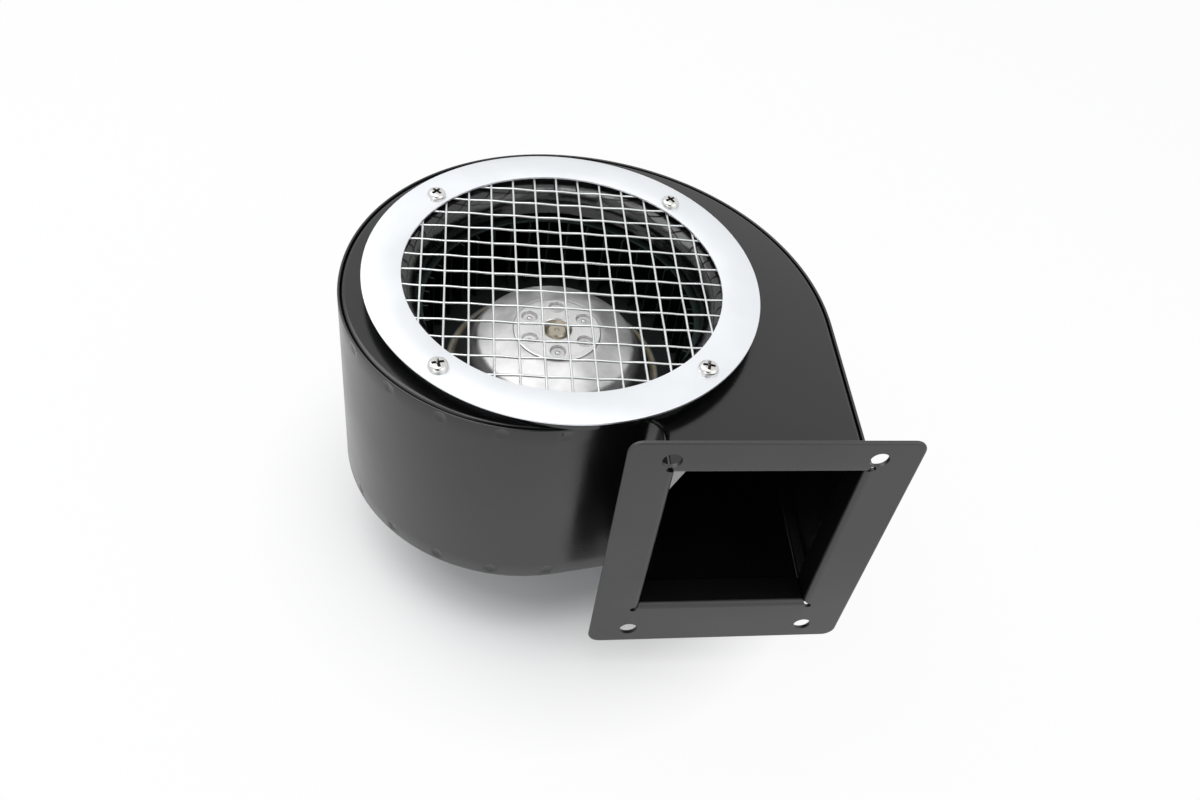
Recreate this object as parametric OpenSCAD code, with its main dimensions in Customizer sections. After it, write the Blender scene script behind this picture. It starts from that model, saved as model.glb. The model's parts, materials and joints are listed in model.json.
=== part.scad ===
// Direct-current centrifugal blower: a spiral sheet-steel scroll with a guarded round inlet on top,
// a flanged rectangular outlet at the front, a forward-curved wheel and a brushed motor behind it.
// Frame: Z is the wheel's axis with the inlet up, the outlet faces -Y, and z = 0 is the flat rear
// end of the motor, on which the blower stands.

/* [Scroll housing] */
// Distance from the rear end of the motor to the scroll
motor_stickout = 43; // [36:1:60]
// Radius of the wrapper on the front left, next to the cut-off
front_r = 72.2; // [70:0.1:74]
// Radius of the wrapper on the back left
back_r = 86.7; // [84:0.1:92]
// Radius of the wrapper on the back right
right_r = 100.2; // [96:0.1:106]
// Reach of the scroll to the left of the axis
left_reach = 83.7; // [82:0.1:90]
// Thickness of the wrapper sheet
wrapper_t = 1; // [0.8:0.1:1.5]
// Thickness of both side plates
plate_t = 1; // [0.8:0.1:1.5]
// Outer radius of the bend round each side plate
plate_bend_r = 2; // [1.6:0.1:3]
// Height of the welded skirt of each side plate
skirt_h = 12; // [8:0.5:16]

/* [Outlet] */
// Distance of the outlet face from the axis
outlet_reach = 88.7; // [86:0.1:100]
// Left outer face of the duct, to the right of the axis
duct_left_x = 28.5; // [24:0.1:30]
// Inward lean of the outer duct wall, in degrees
wall_lean = 2.4; // [0:0.1:4]
// Rise of the wrapper towards the cut-off, in degrees
cutoff_rise = 9.4; // [6:0.1:12]
// Radius of the rounded cut-off corner
cutoff_r = 6.2; // [4:0.1:8]
// Width of the outlet flange
flange_w = 103; // [96:1:120]
// Height of the outlet flange
flange_h = 123; // [114:1:140]
// How far the middle of the flange lies below the middle of the scroll
flange_drop = 4.7; // [0:0.1:6]
// Thickness of the flange sheet
flange_t = 1.5; // [1.2:0.1:2]
// Corner radius of the flange
flange_corner_r = 5; // [2:0.5:8]
// Outer bend radius of the lips that line the outlet
lip_bend_r = 2.2; // [2:0.1:3]
// Depth of the lips, from the outlet face
lip_depth = 12; // [8:0.5:14]
// Sideways spacing of the flange holes
hole_pitch_x = 72; // [70:1:84]
// Upright spacing of the flange holes
hole_pitch_z = 105; // [102:1:112]
// Diameter of the flange holes
flange_hole_d = 7; // [4:0.1:8]

/* [Inlet] */
// Outer diameter of the guard ring
ring_d = 150; // [144:1:156]
// Inner diameter of the guard ring
ring_bore_d = 121; // [112:1:122]
// Thickness of the guard ring
ring_t = 1; // [0.8:0.1:2]
// Height of the inlet collar above the side plate
collar_h = 4; // [3:0.5:6]
// Outer diameter of the inlet collar
collar_d = 143; // [140:0.5:146]
// Thickness of the collar sheet
collar_t = 1; // [0.8:0.1:1.2]
// Radius of the rolled inlet mouth
mouth_r = 7.5; // [6:0.5:8]
// Diameter of the inlet throat
throat_d = 110; // [106:1:112]
// Wire diameter of the guard mesh
wire_d = 1; // [0.8:0.1:1.4]
// Spacing of the guard wires
wire_pitch = 8.9; // [6:0.1:12]
// Sideways and endways spacing of the guard screws
guard_screw_pitch = 94.6; // [94:0.1:96]
// How far the square of guard screws lies towards the outlet
guard_screw_shift = 2; // [0:0.5:2]
// Shank diameter of the guard screws
guard_screw_d = 3.8; // [3:0.1:4]
// Head diameter of the guard screws
guard_head_d = 7.5; // [6:0.1:8]

/* [Wheel] */
// Diameter over the blades
wheel_d = 120; // [116:0.5:120]
// Diameter inside the blades
wheel_bore_d = 101; // [98:0.5:103]
// Length of the blades
wheel_h = 71; // [66:1:72]
// Number of blades
blade_count = 40; // [28:1:48]
// Thickness of a blade
blade_t = 0.7; // [0.5:0.1:0.9]
// Radius of a blade's curve
blade_r = 11; // [10.5:0.1:12]
// Thickness of the end rings
end_ring_t = 0.8; // [0.6:0.1:1]
// Height of the band round each end of the blades
end_band_h = 5; // [3:0.5:8]
// Height of the blade disc above the rear end of the blades
disc_rise = 39; // [36:0.5:40]
// Thickness of the blade disc
disc_t = 1; // [0.8:0.1:1.2]
// Height of the dome above the flat of the disc
dome_h = 19.6; // [19:0.1:21]
// Gap between the wheel and the inlet throat
eye_gap = 2; // [1.5:0.1:3]
// Gap between the wheel and the motor side plate
rear_gap = 5; // [4:0.5:6]
// Gap between the blades and the outer face of the inlet side plate
front_gap = 10; // [8:0.5:14]

/* [Hub] */
// Diameter of the riveted hub plate
hub_plate_d = 35; // [33:0.5:36]
// Thickness of the hub plate
hub_plate_t = 1.5; // [1.2:0.1:2]
// Diameter of the pressed hub bush
hub_bush_d = 11.5; // [10:0.5:13]
// Length of the hub bush
hub_bush_h = 7; // [5:0.5:7.5]
// Number of hub rivets
rivet_count = 6; // [4:1:8]
// Diameter of the circle of hub rivets
rivet_circle_d = 25; // [23:0.5:26]
// Diameter of the dimple round each rivet
dimple_d = 6.6; // [5:0.1:7]
// Turn of the first rivet from the X axis
rivet_turn = 27; // [0:1:59]

/* [Motor] */
// Outer diameter of the motor can
can_d = 58; // [56:0.5:59]
// Wall of the motor can
can_t = 1.6; // [1.2:0.1:2]
// Length of the motor over both end caps
motor_len = 96; // [94:0.5:97]
// Thickness of each end cap
cap_t = 8; // [7:0.5:9]
// Diameter of the motor shaft
shaft_d = 8; // [6:0.5:8]
// Diameter of the armature core
core_d = 42; // [38:0.5:43]
// Length of the armature core
core_h = 36; // [30:1:40]
// Thickness of the magnets
magnet_t = 5; // [4:0.1:5.2]
// Angle covered by each magnet
magnet_arc = 130; // [110:1:140]
// Diameter of the commutator
commutator_d = 22; // [20:0.5:23]
// Diameter of the motor mounting plate
mount_plate_d = 92; // [90:1:96]
// Thickness of the motor mounting plate
mount_plate_t = 2; // [1.5:0.1:3]
// Diameter of the circle of motor screws
mount_circle_d = 81; // [80:0.5:82]
// Shank diameter of the motor screws
mount_screw_d = 4; // [3:0.5:5]

/* [Fits] */
// Radial running clearance of the shaft in its bearings
run_gap = 0.03; // [0.02:0.01:0.06]
// Radial clearance of screws in their holes
screw_gap = 0.15; // [0.1:0.05:0.3]
// Small clearance between seated parts
seat_gap = 0.1; // [0.05:0.05:0.2]

/* [Hidden] */
$fn = 96;

// Overlap of neighbouring sheet runs, and how much thinner the inner one is
seam_lap = 0.5;
seam_trim = 0.02;
edge_flat = 3;
$trim = 0;

// Heights along the axis
scroll_z = motor_stickout;
scroll_depth = plate_t + rear_gap + wheel_h + front_gap;
scroll_top = scroll_z + scroll_depth;
collar_top = scroll_top + collar_h;
ring_z = collar_top + 2 * wire_d;
wheel_z = scroll_z + plate_t + rear_gap;
wheel_top = wheel_z + wheel_h;
throat_z = wheel_top + end_ring_t + eye_gap;
disc_z = wheel_z + disc_rise;
dome_top = disc_z + dome_h;
hub_top = dome_top + hub_plate_t;

// Spiral of the wrapper: three arcs that meet tangentially, then the cut-off and the duct
front_c = [front_r - left_reach, 0];
back_c = [back_r - left_reach, 0];
right_c = [back_c[0], back_r - right_r];
cutoff_start = on_circle(front_c, front_r, 270 + cutoff_rise);
cutoff_c = [duct_left_x - cutoff_r,
            cutoff_start[1] + (duct_left_x - cutoff_r - cutoff_start[0]) * tan(cutoff_rise)
            - cutoff_r / cos(cutoff_rise)];
outlet_y = -outlet_reach;
duct_end_y = outlet_y + lip_bend_r;
skirt_end_y = outlet_y + lip_depth + 5 * seat_gap;

// Outlet opening, inside the lips
lip_inset = wrapper_t + flange_t + seat_gap / 2;
opening_x = [duct_left_x + lip_inset, wall_x(0, duct_end_y) - lip_inset];
opening_z = [scroll_z + plate_t + flange_t, scroll_top - plate_t - flange_t];
opening_size = [opening_x[1] - opening_x[0], opening_z[1] - opening_z[0]];
flange_c = [(opening_x[0] + opening_x[1]) / 2 + 0.6, scroll_z + scroll_depth / 2 - flange_drop];

// Motor
can_r = can_d / 2;
core_z = 34;
bolt_d = 4;
bearing_r = shaft_d / 2 + 3;
bearing_h = 5;
cap_floor = 2;
spigot_h = 1.5;
commutator_h = 10;
commutator_z = 15;

// Brush gear
brush_plate_z = cap_t + spigot_h + seat_gap;
brush_plate_t = 2;
brush_z = commutator_z + commutator_h / 2;
brush_w = 5;
brush_end = commutator_d / 2 + 9.15;
holder_end = can_r - can_t - 1.2;

// Motor nuts
nut_h = 3.2;
nut_r = mount_screw_d * 0.99;

function on_circle(c, r, a) = c + r * [cos(a), sin(a)];
// Sideways place of the outer duct wall, at an inset from its outer face
function wall_x(inset, y) =
    let (start = on_circle(right_c, right_r - inset, -wall_lean))
    start[0] - (start[1] - y) * tan(wall_lean);
// Path moved sideways by t, mitred at its corners
function side_normal(a, b) = let (d = b - a) [-d[1], d[0]] / norm(d);
function shifted(p, t) = [
    for (i = [0 : len(p) - 1])
        let (n0 = side_normal(p[max(i - 1, 0)], p[max(i, 1)]),
             n1 = side_normal(p[min(i, len(p) - 2)], p[min(i + 1, len(p) - 1)]),
             n = (n0 + n1) / norm(n0 + n1))
        p[i] + n * t / (n * n1)];
function reversed(p) = [for (i = [len(p) - 1 : -1 : 0]) p[i]];
// Points of an arc, from one angle to another
function arc_points(c, r, from, to, steps = 8) =
    [for (i = [0 : steps]) on_circle(c, r, from + (to - from) * i / steps)];

// ---------------------------------------------------------------- scroll housing

// Part of a disc between two angles
module disc_sector(c, r, from, to) {
    intersection() {
        translate(c) circle(r);
        polygon([c, for (i = [0 : 4]) on_circle(c, 2 * r, from + (to - from) * i / 4)]);
    }
}

// Plan of the scroll and its duct in short chords, at an inset from the outer face of the wrapper.
// No corner lies where two runs of the wrapper meet.
function scroll_points(inset, end_y) =
    concat(arc_points(right_c, right_r - inset, 2 - wall_lean, 88.5, 30),
           arc_points(back_c, back_r - inset, 91.5, 178.5, 30),
           arc_points(front_c, front_r - inset, 181.5, 268 + cutoff_rise, 30),
           arc_points(cutoff_c, cutoff_r + inset, 85 + cutoff_rise, 5, 12),
           [[duct_left_x + inset, end_y], [wall_x(inset, end_y), end_y]]);

// Straight run of a profile drawn as (inset, height). It starts and ends inside its neighbours,
// a hair thinner than they are, which $trim tells the profile.
module straight_run(start, heading, length, lead_in = seam_lap, lead_out = seam_lap) {
    $trim = seam_trim;
    translate(start) rotate(heading) translate([-lead_in, 0]) rotate([90, 0, 90])
        linear_extrude(length + lead_in + lead_out) children();
}

// Profile drawn as (inset, height), swept round an arc whose centre lies inside the scroll
module arc_run(c, r, from, to) {
    translate(c) rotate(from) rotate_extrude(angle = to - from) translate([r, 0]) mirror([1, 0]) children();
}

// Profile swept along the whole wrapper, up to a distance from the outlet face
module along_scroll(end_y) {
    cutoff_end = on_circle(cutoff_c, cutoff_r, 90 + cutoff_rise);
    wall_start = [wall_x(0, end_y), end_y];
    arc_run(front_c, front_r, 180, 270 + cutoff_rise) children();
    straight_run(cutoff_start, cutoff_rise, norm(cutoff_end - cutoff_start)) children();
    translate(cutoff_c) rotate_extrude(angle = 90 + cutoff_rise) translate([cutoff_r, 0]) children();
    straight_run([duct_left_x, cutoff_c[1]], -90, cutoff_c[1] - end_y, lead_out = 0) children();
    straight_run(wall_start, 90 - wall_lean,
                 norm(on_circle(right_c, right_r, -wall_lean) - wall_start), lead_in = 0) children();
    arc_run(right_c, right_r, 90, -wall_lean) children();
    arc_run(back_c, back_r, 90, 180) children();
}

module scroll_wrapper() {
    color([0.17, 0.17, 0.18])
    translate([0, 0, scroll_z]) along_scroll(duct_end_y)
        translate([$trim, $trim]) square([wrapper_t - 2 * $trim, scroll_depth - 2 * $trim]);
}

// Rounded edge and skirt of a side plate, drawn as (inset, height) with the plate's face at 0
module pan_edge() {
    bend_c = [wrapper_t + plate_bend_r, -plate_bend_r];
    difference() {
        intersection() {
            translate(bend_c) circle(plate_bend_r - $trim, $fn = 32);
            translate(bend_c - [plate_bend_r, 0]) square(plate_bend_r);
        }
        translate(bend_c) circle(plate_bend_r - plate_t + $trim, $fn = 32);
    }
    translate([wrapper_t + $trim, -skirt_h]) square([plate_t - 2 * $trim, skirt_h - plate_bend_r]);
    translate([bend_c[0], $trim - plate_t]) square([edge_flat - 5 * $trim, plate_t - 2 * $trim]);
}

// Side plate with its face up at height 0 and a round hole on the axis.
// The flat of the plate ends inside the strip that borders the bend.
module side_pan(hole_r) {
    slab_trim = 2 * seam_trim;
    duct_x = [duct_left_x + wrapper_t + seat_gap, wall_x(wrapper_t + seat_gap, duct_end_y)];
    translate([0, 0, slab_trim - plate_t]) linear_extrude(plate_t - 2 * slab_trim) difference() {
        union() {
            polygon(scroll_points(wrapper_t + plate_bend_r + edge_flat / 2, duct_end_y + 1));
            translate([duct_x[0], duct_end_y])
                square([duct_x[1] - duct_x[0], skirt_end_y - duct_end_y + seam_lap]);
        }
        circle(hole_r);
    }
    along_scroll(skirt_end_y) pan_edge();
}

module guard_screw_places() {
    for (sx = [-1, 1], sy = [-1, 1])
        translate([sx * guard_screw_pitch / 2, sy * guard_screw_pitch / 2 - guard_screw_shift]) children();
}

module inlet_side_plate() {
    color([0.2, 0.2, 0.21])
    translate([0, 0, scroll_top]) difference() {
        side_pan(wheel_d / 2 + 2);
        guard_screw_places() cylinder(h = 4 * plate_t, r = guard_screw_d / 2 + seat_gap, center = true);
    }
}

module motor_side_plate() {
    color([0.2, 0.2, 0.21])
    difference() {
        translate([0, 0, scroll_z]) mirror([0, 0, 1]) side_pan(can_r + 6);
        mount_screw_places() cylinder(h = 3 * scroll_z, r = mount_screw_d / 2 + screw_gap, center = true);
    }
}

// ---------------------------------------------------------------- outlet flange

module flange_plate_2d() {
    difference() {
        translate(flange_c) union() {
            square([flange_w - 2 * flange_corner_r, flange_h], center = true);
            square([flange_w, flange_h - 2 * flange_corner_r], center = true);
            for (sx = [-1, 1], sz = [-1, 1])
                translate([sx * (flange_w / 2 - flange_corner_r), sz * (flange_h / 2 - flange_corner_r)])
                    circle(flange_corner_r);
        }
        translate([opening_x[0] - lip_bend_r, opening_z[0] - lip_bend_r])
            square(opening_size + 2 * lip_bend_r * [1, 1]);
        translate(flange_c) for (sx = [-1, 1], sz = [-1, 1])
            translate([sx * hole_pitch_x / 2, sz * hole_pitch_z / 2]) circle(d = flange_hole_d);
    }
}

// Lip drawn as (outward from the opening, depth behind the outlet face)
module lip_profile() {
    intersection() {
        difference() {
            translate([lip_bend_r, lip_bend_r]) circle(lip_bend_r);
            translate([lip_bend_r, lip_bend_r]) circle(lip_bend_r - flange_t);
        }
        square(lip_bend_r);
    }
    translate([0, lip_bend_r]) square([flange_t, lip_depth - lip_bend_r]);
}

// Lip of a given length, standing on the right-hand side of an opening centred on the origin
module lip(length, half_width) {
    translate([half_width, 0, -length / 2]) linear_extrude(length) lip_profile();
}

module outlet_flange() {
    color([0.19, 0.19, 0.2]) {
        translate([0, outlet_y + flange_t, 0]) rotate([90, 0, 0]) linear_extrude(flange_t) flange_plate_2d();
        translate([(opening_x[0] + opening_x[1]) / 2, outlet_y, (opening_z[0] + opening_z[1]) / 2])
            for (side = [0, 1]) {
                mirror([side, 0, 0]) lip(opening_size[1] - 2 * seat_gap, opening_size[0] / 2);
                mirror([0, 0, side]) rotate([0, -90, 0]) lip(opening_size[0] - 2 * seat_gap, opening_size[1] / 2);
            }
    }
}

// ---------------------------------------------------------------- inlet guard

module inlet_collar() {
    mouth_c = [throat_d / 2 + mouth_r, collar_top - mouth_r];
    inner_path = concat([[throat_d / 2, throat_z]], arc_points(mouth_c, mouth_r, 180, 90),
                        [[collar_d / 2, collar_top], [collar_d / 2, scroll_top]]);
    color([0.13, 0.13, 0.14])
    difference() {
        rotate_extrude() polygon(concat(inner_path, reversed(shifted(inner_path, -collar_t))));
        translate([0, 0, collar_top]) guard_screw_places()
            cylinder(h = 4 * collar_t, r = guard_screw_d / 2 + screw_gap, center = true);
    }
}

module guard_ring() {
    color([0.92, 0.94, 0.95])
    translate([0, 0, ring_z]) linear_extrude(ring_t) difference() {
        circle(d = ring_d);
        circle(d = ring_bore_d);
        guard_screw_places() circle(guard_screw_d / 2 + screw_gap);
    }
}

// Straight wires of one layer, clipped to the round seat of the guard
module wire_layer(reach, turn) {
    count = floor(reach / wire_pitch - 0.2);
    rotate(turn) for (i = [-count : count]) {
        half = sqrt(reach * reach - pow(i * wire_pitch, 2));
        translate([-half, i * wire_pitch, 0]) rotate([0, 90, 0]) cylinder(h = 2 * half, d = wire_d, $fn = 24);
    }
}

module guard_mesh() {
    reach = ring_bore_d / 2 + 2.5;
    color([0.8, 0.82, 0.82])
    translate([0, 0, ring_z]) {
        translate([0, 0, -wire_d / 2]) wire_layer(reach, -2.6);
        translate([0, 0, -1.35 * wire_d]) wire_layer(reach, 91.4);
    }
}

// Pan-headed screw with the seat of its head at height 0, pointing down
module pan_screw(shank_d, shank_h, head_d, head_h) {
    translate([0, 0, -shank_h]) cylinder(h = shank_h, d = shank_d, $fn = 48);
    intersection() {
        cylinder(h = head_h, d = head_d, $fn = 48);
        translate([0, 0, head_h - 0.75 * head_d]) sphere(0.75 * head_d, $fn = 48);
    }
}

module guard_screws() {
    shank_h = ring_z + ring_t - scroll_top + plate_t + 3;
    color([0.75, 0.75, 0.74])
    translate([0, 0, ring_z + ring_t]) guard_screw_places()
        pan_screw(guard_screw_d, shank_h, guard_head_d, guard_head_d / 3);
}

// ---------------------------------------------------------------- wheel

// Forward-curved blade, leaning into a clockwise turn seen from the inlet
module blade_2d(extra = 0) {
    bow_c = [wheel_bore_d / 2 + 0.3, -blade_r + 0.4];
    intersection() {
        difference() {
            translate(bow_c) circle(blade_r + blade_t / 2 + extra);
            translate(bow_c) circle(blade_r - blade_t / 2 - extra);
        }
        difference() {
            circle(d = wheel_d);
            circle(d = wheel_bore_d);
        }
        translate([wheel_bore_d / 2 - 2, bow_c[1]]) square([wheel_d / 2, blade_r + 2]);
    }
}

module blade_ring_2d(extra = 0) {
    for (i = [0 : blade_count - 1]) rotate(i * 360 / blade_count) blade_2d(extra);
}

module wheel_blades() {
    color([0.55, 0.57, 0.58])
    translate([0, 0, wheel_z]) linear_extrude(wheel_h) blade_ring_2d();
}

// Section of the dished disc, from the hub hole out to the blades
function disc_path() =
    let (shoulder = [31, dome_top - 4.6], foot = [40.6, disc_z + 1.8])
    concat([[hub_bush_d / 2 + run_gap, dome_top], [hub_plate_d / 2 + 0.5, dome_top]],
           [shoulder - [2.6, -0.9], shoulder - [1, -0.2], shoulder + [0.3, -0.6]],
           [foot, foot + [0.9, -1.3], [foot[0] + 2.6, disc_z], [wheel_d / 2 - disc_t / 2, disc_z]]);

module wheel_disc() {
    path = disc_path();
    color([0.75, 0.76, 0.77])
    difference() {
        rotate_extrude() polygon(concat(path, reversed(shifted(path, -disc_t))));
        translate([0, 0, disc_z - 2 * disc_t]) linear_extrude(3 * disc_t) blade_ring_2d(0.02);
        rivet_places() cylinder(h = 4 * dome_top, r = rivet_r(), center = true);
    }
}

// Ring over the ends of the blades, with a band round their outer edges
module end_ring() {
    band_r = wheel_d / 2 + end_ring_t;
    translate([0, 0, wheel_h]) linear_extrude(end_ring_t) difference() {
        circle(band_r);
        circle(wheel_bore_d / 2 + 2);
    }
    translate([0, 0, wheel_h - end_band_h]) linear_extrude(end_band_h) difference() {
        circle(band_r);
        circle(wheel_d / 2 + run_gap);
    }
}

module wheel_front_ring() {
    color([0.6, 0.62, 0.63]) translate([0, 0, wheel_z]) end_ring();
}

module wheel_rear_ring() {
    color([0.6, 0.62, 0.63]) translate([0, 0, wheel_z + wheel_h]) mirror([0, 0, 1]) end_ring();
}

// ---------------------------------------------------------------- hub

function rivet_r() = dimple_d / 4;

module rivet_places() {
    for (i = [0 : rivet_count - 1])
        rotate(rivet_turn + i * 360 / rivet_count) translate([rivet_circle_d / 2, 0]) children();
}

module hub_plate() {
    floor_t = 0.5;
    color([0.8, 0.81, 0.81])
    translate([0, 0, dome_top]) difference() {
        cylinder(h = hub_plate_t, d = hub_plate_d);
        translate([0, 0, -hub_plate_t]) cylinder(h = 3 * hub_plate_t, d = hub_bush_d);
        rivet_places() translate([0, 0, floor_t]) cylinder(h = hub_plate_t, d = dimple_d, $fn = 48);
        rivet_places() cylinder(h = 3 * hub_plate_t, r = rivet_r(), center = true, $fn = 48);
    }
}

module hub_bush() {
    collar_r = hub_bush_d / 2 + 2.4;
    color([0.55, 0.47, 0.36])
    translate([0, 0, dome_top - disc_t]) difference() {
        union() {
            translate([0, 0, -hub_bush_h + 1]) cylinder(h = hub_bush_h - 1, r = collar_r);
            translate([0, 0, -hub_bush_h]) cylinder(h = hub_bush_h + disc_t + 0.4, d = hub_bush_d);
        }
        cylinder(h = 6 * hub_bush_h, d = shaft_d, center = true);
    }
}

module hub_rivets() {
    head_r = rivet_r() + 0.6;
    color([0.78, 0.78, 0.77])
    rivet_places() {
        translate([0, 0, dome_top - disc_t - 0.8]) cylinder(h = 0.8, r = head_r, $fn = 32);
        translate([0, 0, dome_top - disc_t]) cylinder(h = disc_t + 0.5, r = rivet_r(), $fn = 32);
        translate([0, 0, dome_top + 0.5]) cylinder(h = 0.6, r = head_r, $fn = 32);
    }
}

// ---------------------------------------------------------------- armature

module motor_shaft() {
    start_z = 3;
    tip = 0.5;
    color([0.7, 0.66, 0.58])
    rotate_extrude() polygon([[0, start_z], [shaft_d / 2 - tip, start_z], [shaft_d / 2, start_z + tip],
                              [shaft_d / 2, hub_top - 1 - tip], [shaft_d / 2 - tip, hub_top - 1],
                              [0, hub_top - 1]]);
}

module armature_core() {
    slots = 12;
    color([0.45, 0.45, 0.47])
    translate([0, 0, core_z]) linear_extrude(core_h) difference() {
        circle(d = core_d);
        circle(d = shaft_d);
        for (i = [0 : slots - 1]) rotate(i * 360 / slots) {
            translate([core_d / 2 - 3, -1]) square([4, 2]);
            translate([core_d / 2 - 6.5, 0]) circle(2.6, $fn = 24);
        }
    }
}

// Ends of the coils, wound round the shaft above and below the core
module armature_windings() {
    coil_h = 8;
    color([0.72, 0.42, 0.2])
    for (base = [core_z + core_h, core_z - coil_h]) translate([0, 0, base]) rotate_extrude() difference() {
        translate([shaft_d / 2 + 1, 0]) square([core_d / 2 - 3 - shaft_d / 2, coil_h]);
        for (z = [0, coil_h]) if ((z == 0) == (base < core_z))
            translate([core_d / 2 - 1, z]) circle(3, $fn = 32);
    }
}

module commutator() {
    bars = 12;
    color([0.7, 0.47, 0.26])
    translate([0, 0, commutator_z]) difference() {
        cylinder(h = commutator_h, d = commutator_d);
        cylinder(h = 3 * commutator_h, d = shaft_d, center = true);
        for (i = [0 : bars - 1]) rotate(i * 360 / bars)
            translate([commutator_d / 2 - 1, -0.3, -1]) cube([2, 0.6, commutator_h + 2]);
    }
}

// ---------------------------------------------------------------- motor

module motor_can() {
    color([0.3, 0.3, 0.31])
    difference() {
        translate([0, 0, cap_t]) cylinder(h = motor_len - 2 * cap_t, r = can_r);
        cylinder(h = 2 * motor_len, r = can_r - can_t);
    }
}

// Places of the two tie bolts, in the gaps between the magnets
module bolt_places() {
    for (a = [0, 180]) rotate(a) translate([can_r - can_t - magnet_t / 2 - 0.2, 0]) children();
}

// End cap with its outer face at height 0, its bearing seat and its spigot above
module end_cap() {
    difference() {
        union() {
            cylinder(h = cap_t, r = can_r);
            translate([0, 0, cap_t]) cylinder(h = spigot_h, r = can_r - can_t - seat_gap);
        }
        translate([0, 0, cap_floor]) difference() {
            cylinder(h = 2 * cap_t, r = can_r - can_t - 7);
            cylinder(h = bearing_h, r = bearing_r + 2.5);
        }
        translate([0, 0, cap_floor]) cylinder(h = 2 * cap_t, r = bearing_r);
    }
}

module motor_rear_cap() {
    color([0.62, 0.63, 0.64])
    difference() {
        end_cap();
        bolt_places() translate([0, 0, cap_floor]) cylinder(h = 2 * cap_t, r = bolt_d / 2 + screw_gap, $fn = 48);
    }
}

module motor_front_cap() {
    color([0.62, 0.63, 0.64])
    translate([0, 0, motor_len]) mirror([0, 0, 1]) difference() {
        end_cap();
        bolt_places() cylinder(h = 4 * cap_t, r = bolt_d / 2 + screw_gap, center = true, $fn = 48);
        cylinder(h = 4 * cap_t, r = shaft_d / 2 + 1, center = true);
    }
}

module motor_magnets() {
    outer_r = can_r - can_t;
    color([0.2, 0.2, 0.22])
    for (a = [90, 270]) translate([0, 0, core_z - 2]) linear_extrude(core_h + 4) difference() {
        disc_sector([0, 0], outer_r, a - magnet_arc / 2, a + magnet_arc / 2);
        circle(outer_r - magnet_t);
    }
}

// Sintered bearing bush
module bearing() {
    difference() {
        cylinder(h = bearing_h, r = bearing_r);
        cylinder(h = 3 * bearing_h, r = shaft_d / 2 + run_gap, center = true);
    }
}

module front_bearing() {
    color([0.66, 0.55, 0.35]) translate([0, 0, motor_len - cap_floor]) mirror([0, 0, 1]) bearing();
}

module rear_bearing() {
    color([0.66, 0.55, 0.35]) translate([0, 0, cap_floor]) bearing();
}

module tie_bolts() {
    color([0.72, 0.72, 0.71])
    bolt_places() {
        translate([0, 0, cap_floor + 0.5]) cylinder(h = motor_len - cap_floor, r = bolt_d / 2, $fn = 48);
        translate([0, 0, motor_len]) cylinder(h = 2.5, r = bolt_d * 0.8, $fn = 48);
    }
}

// ---------------------------------------------------------------- brush gear

module brush_plate() {
    color([0.45, 0.28, 0.16])
    translate([0, 0, brush_plate_z]) linear_extrude(brush_plate_t) difference() {
        circle(can_r - can_t - seat_gap);
        circle(commutator_d / 2 - 2);
        bolt_places() circle(bolt_d / 2 + screw_gap);
    }
}

// Two brushes face each other across the commutator
module brush_places() {
    for (a = [90, 270]) rotate(a) translate([0, 0, brush_z]) children();
}

module brush_holders() {
    start_r = commutator_d / 2 + 1;
    foot_h = brush_z - brush_plate_z - brush_plate_t;
    wall = 1;
    color([0.78, 0.62, 0.3])
    brush_places() difference() {
        translate([start_r, -brush_w / 2 - wall, -foot_h])
            cube([holder_end - start_r, brush_w + 2 * wall, foot_h + brush_w / 2 + wall]);
        translate([start_r - wall, -brush_w / 2 - seat_gap, -brush_w / 2 - seat_gap])
            cube([holder_end - start_r, brush_w + 2 * seat_gap, brush_w + 2 * seat_gap]);
    }
}

module brushes() {
    color([0.16, 0.16, 0.16])
    brush_places() difference() {
        translate([0, -brush_w / 2, -brush_w / 2]) cube([brush_end, brush_w, brush_w]);
        cylinder(h = 3 * brush_w, r = commutator_d / 2 + 0.35, center = true);
    }
}

// Bowed leaf spring between each brush and the end of its holder
module brush_springs() {
    spring_r = min((holder_end - 1 - brush_end) / 2 - seat_gap / 2, brush_w / 2);
    color([0.8, 0.8, 0.78])
    brush_places() translate([brush_end + spring_r, 0, -1.5]) linear_extrude(3) difference() {
        circle(spring_r, $fn = 48);
        circle(spring_r - 0.3, $fn = 48);
        translate([0, spring_r]) square(spring_r, center = true);
    }
}

// ---------------------------------------------------------------- terminals

module terminal_block() {
    color([0.14, 0.14, 0.15])
    translate([0, 0, 12]) difference() {
        translate([-can_r - 5, -9, 0]) cube([12, 18, 9]);
        translate([0, 0, -1]) cylinder(h = 12, r = can_r);
        spade_places() translate([-20, -3.2, -0.4]) cube([40, 6.4, 0.8]);
    }
}

module spade_places() {
    for (y = [-4.5, 4.5]) translate([-can_r, y, 4.5]) children();
}

module spade_terminals() {
    color([0.82, 0.72, 0.45])
    translate([0, 0, 12]) spade_places() difference() {
        translate([-12, -3.15, -0.4]) cube([11.5, 6.3, 0.8]);
        translate([-9, 0, -1]) cylinder(h = 2, r = 0.9, $fn = 32);
    }
}

// ---------------------------------------------------------------- motor mounting

module mount_screw_places() {
    for (a = [45 : 90 : 315]) rotate(a) translate([mount_circle_d / 2, 0, 0]) children();
}

module mount_plate() {
    color([0.72, 0.73, 0.74])
    translate([0, 0, scroll_z - mount_plate_t]) difference() {
        cylinder(h = mount_plate_t, d = mount_plate_d);
        cylinder(h = 3 * mount_plate_t, r = can_r + run_gap, center = true);
        mount_screw_places() cylinder(h = 3 * mount_plate_t, r = mount_screw_d / 2 + screw_gap, center = true);
    }
}

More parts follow.
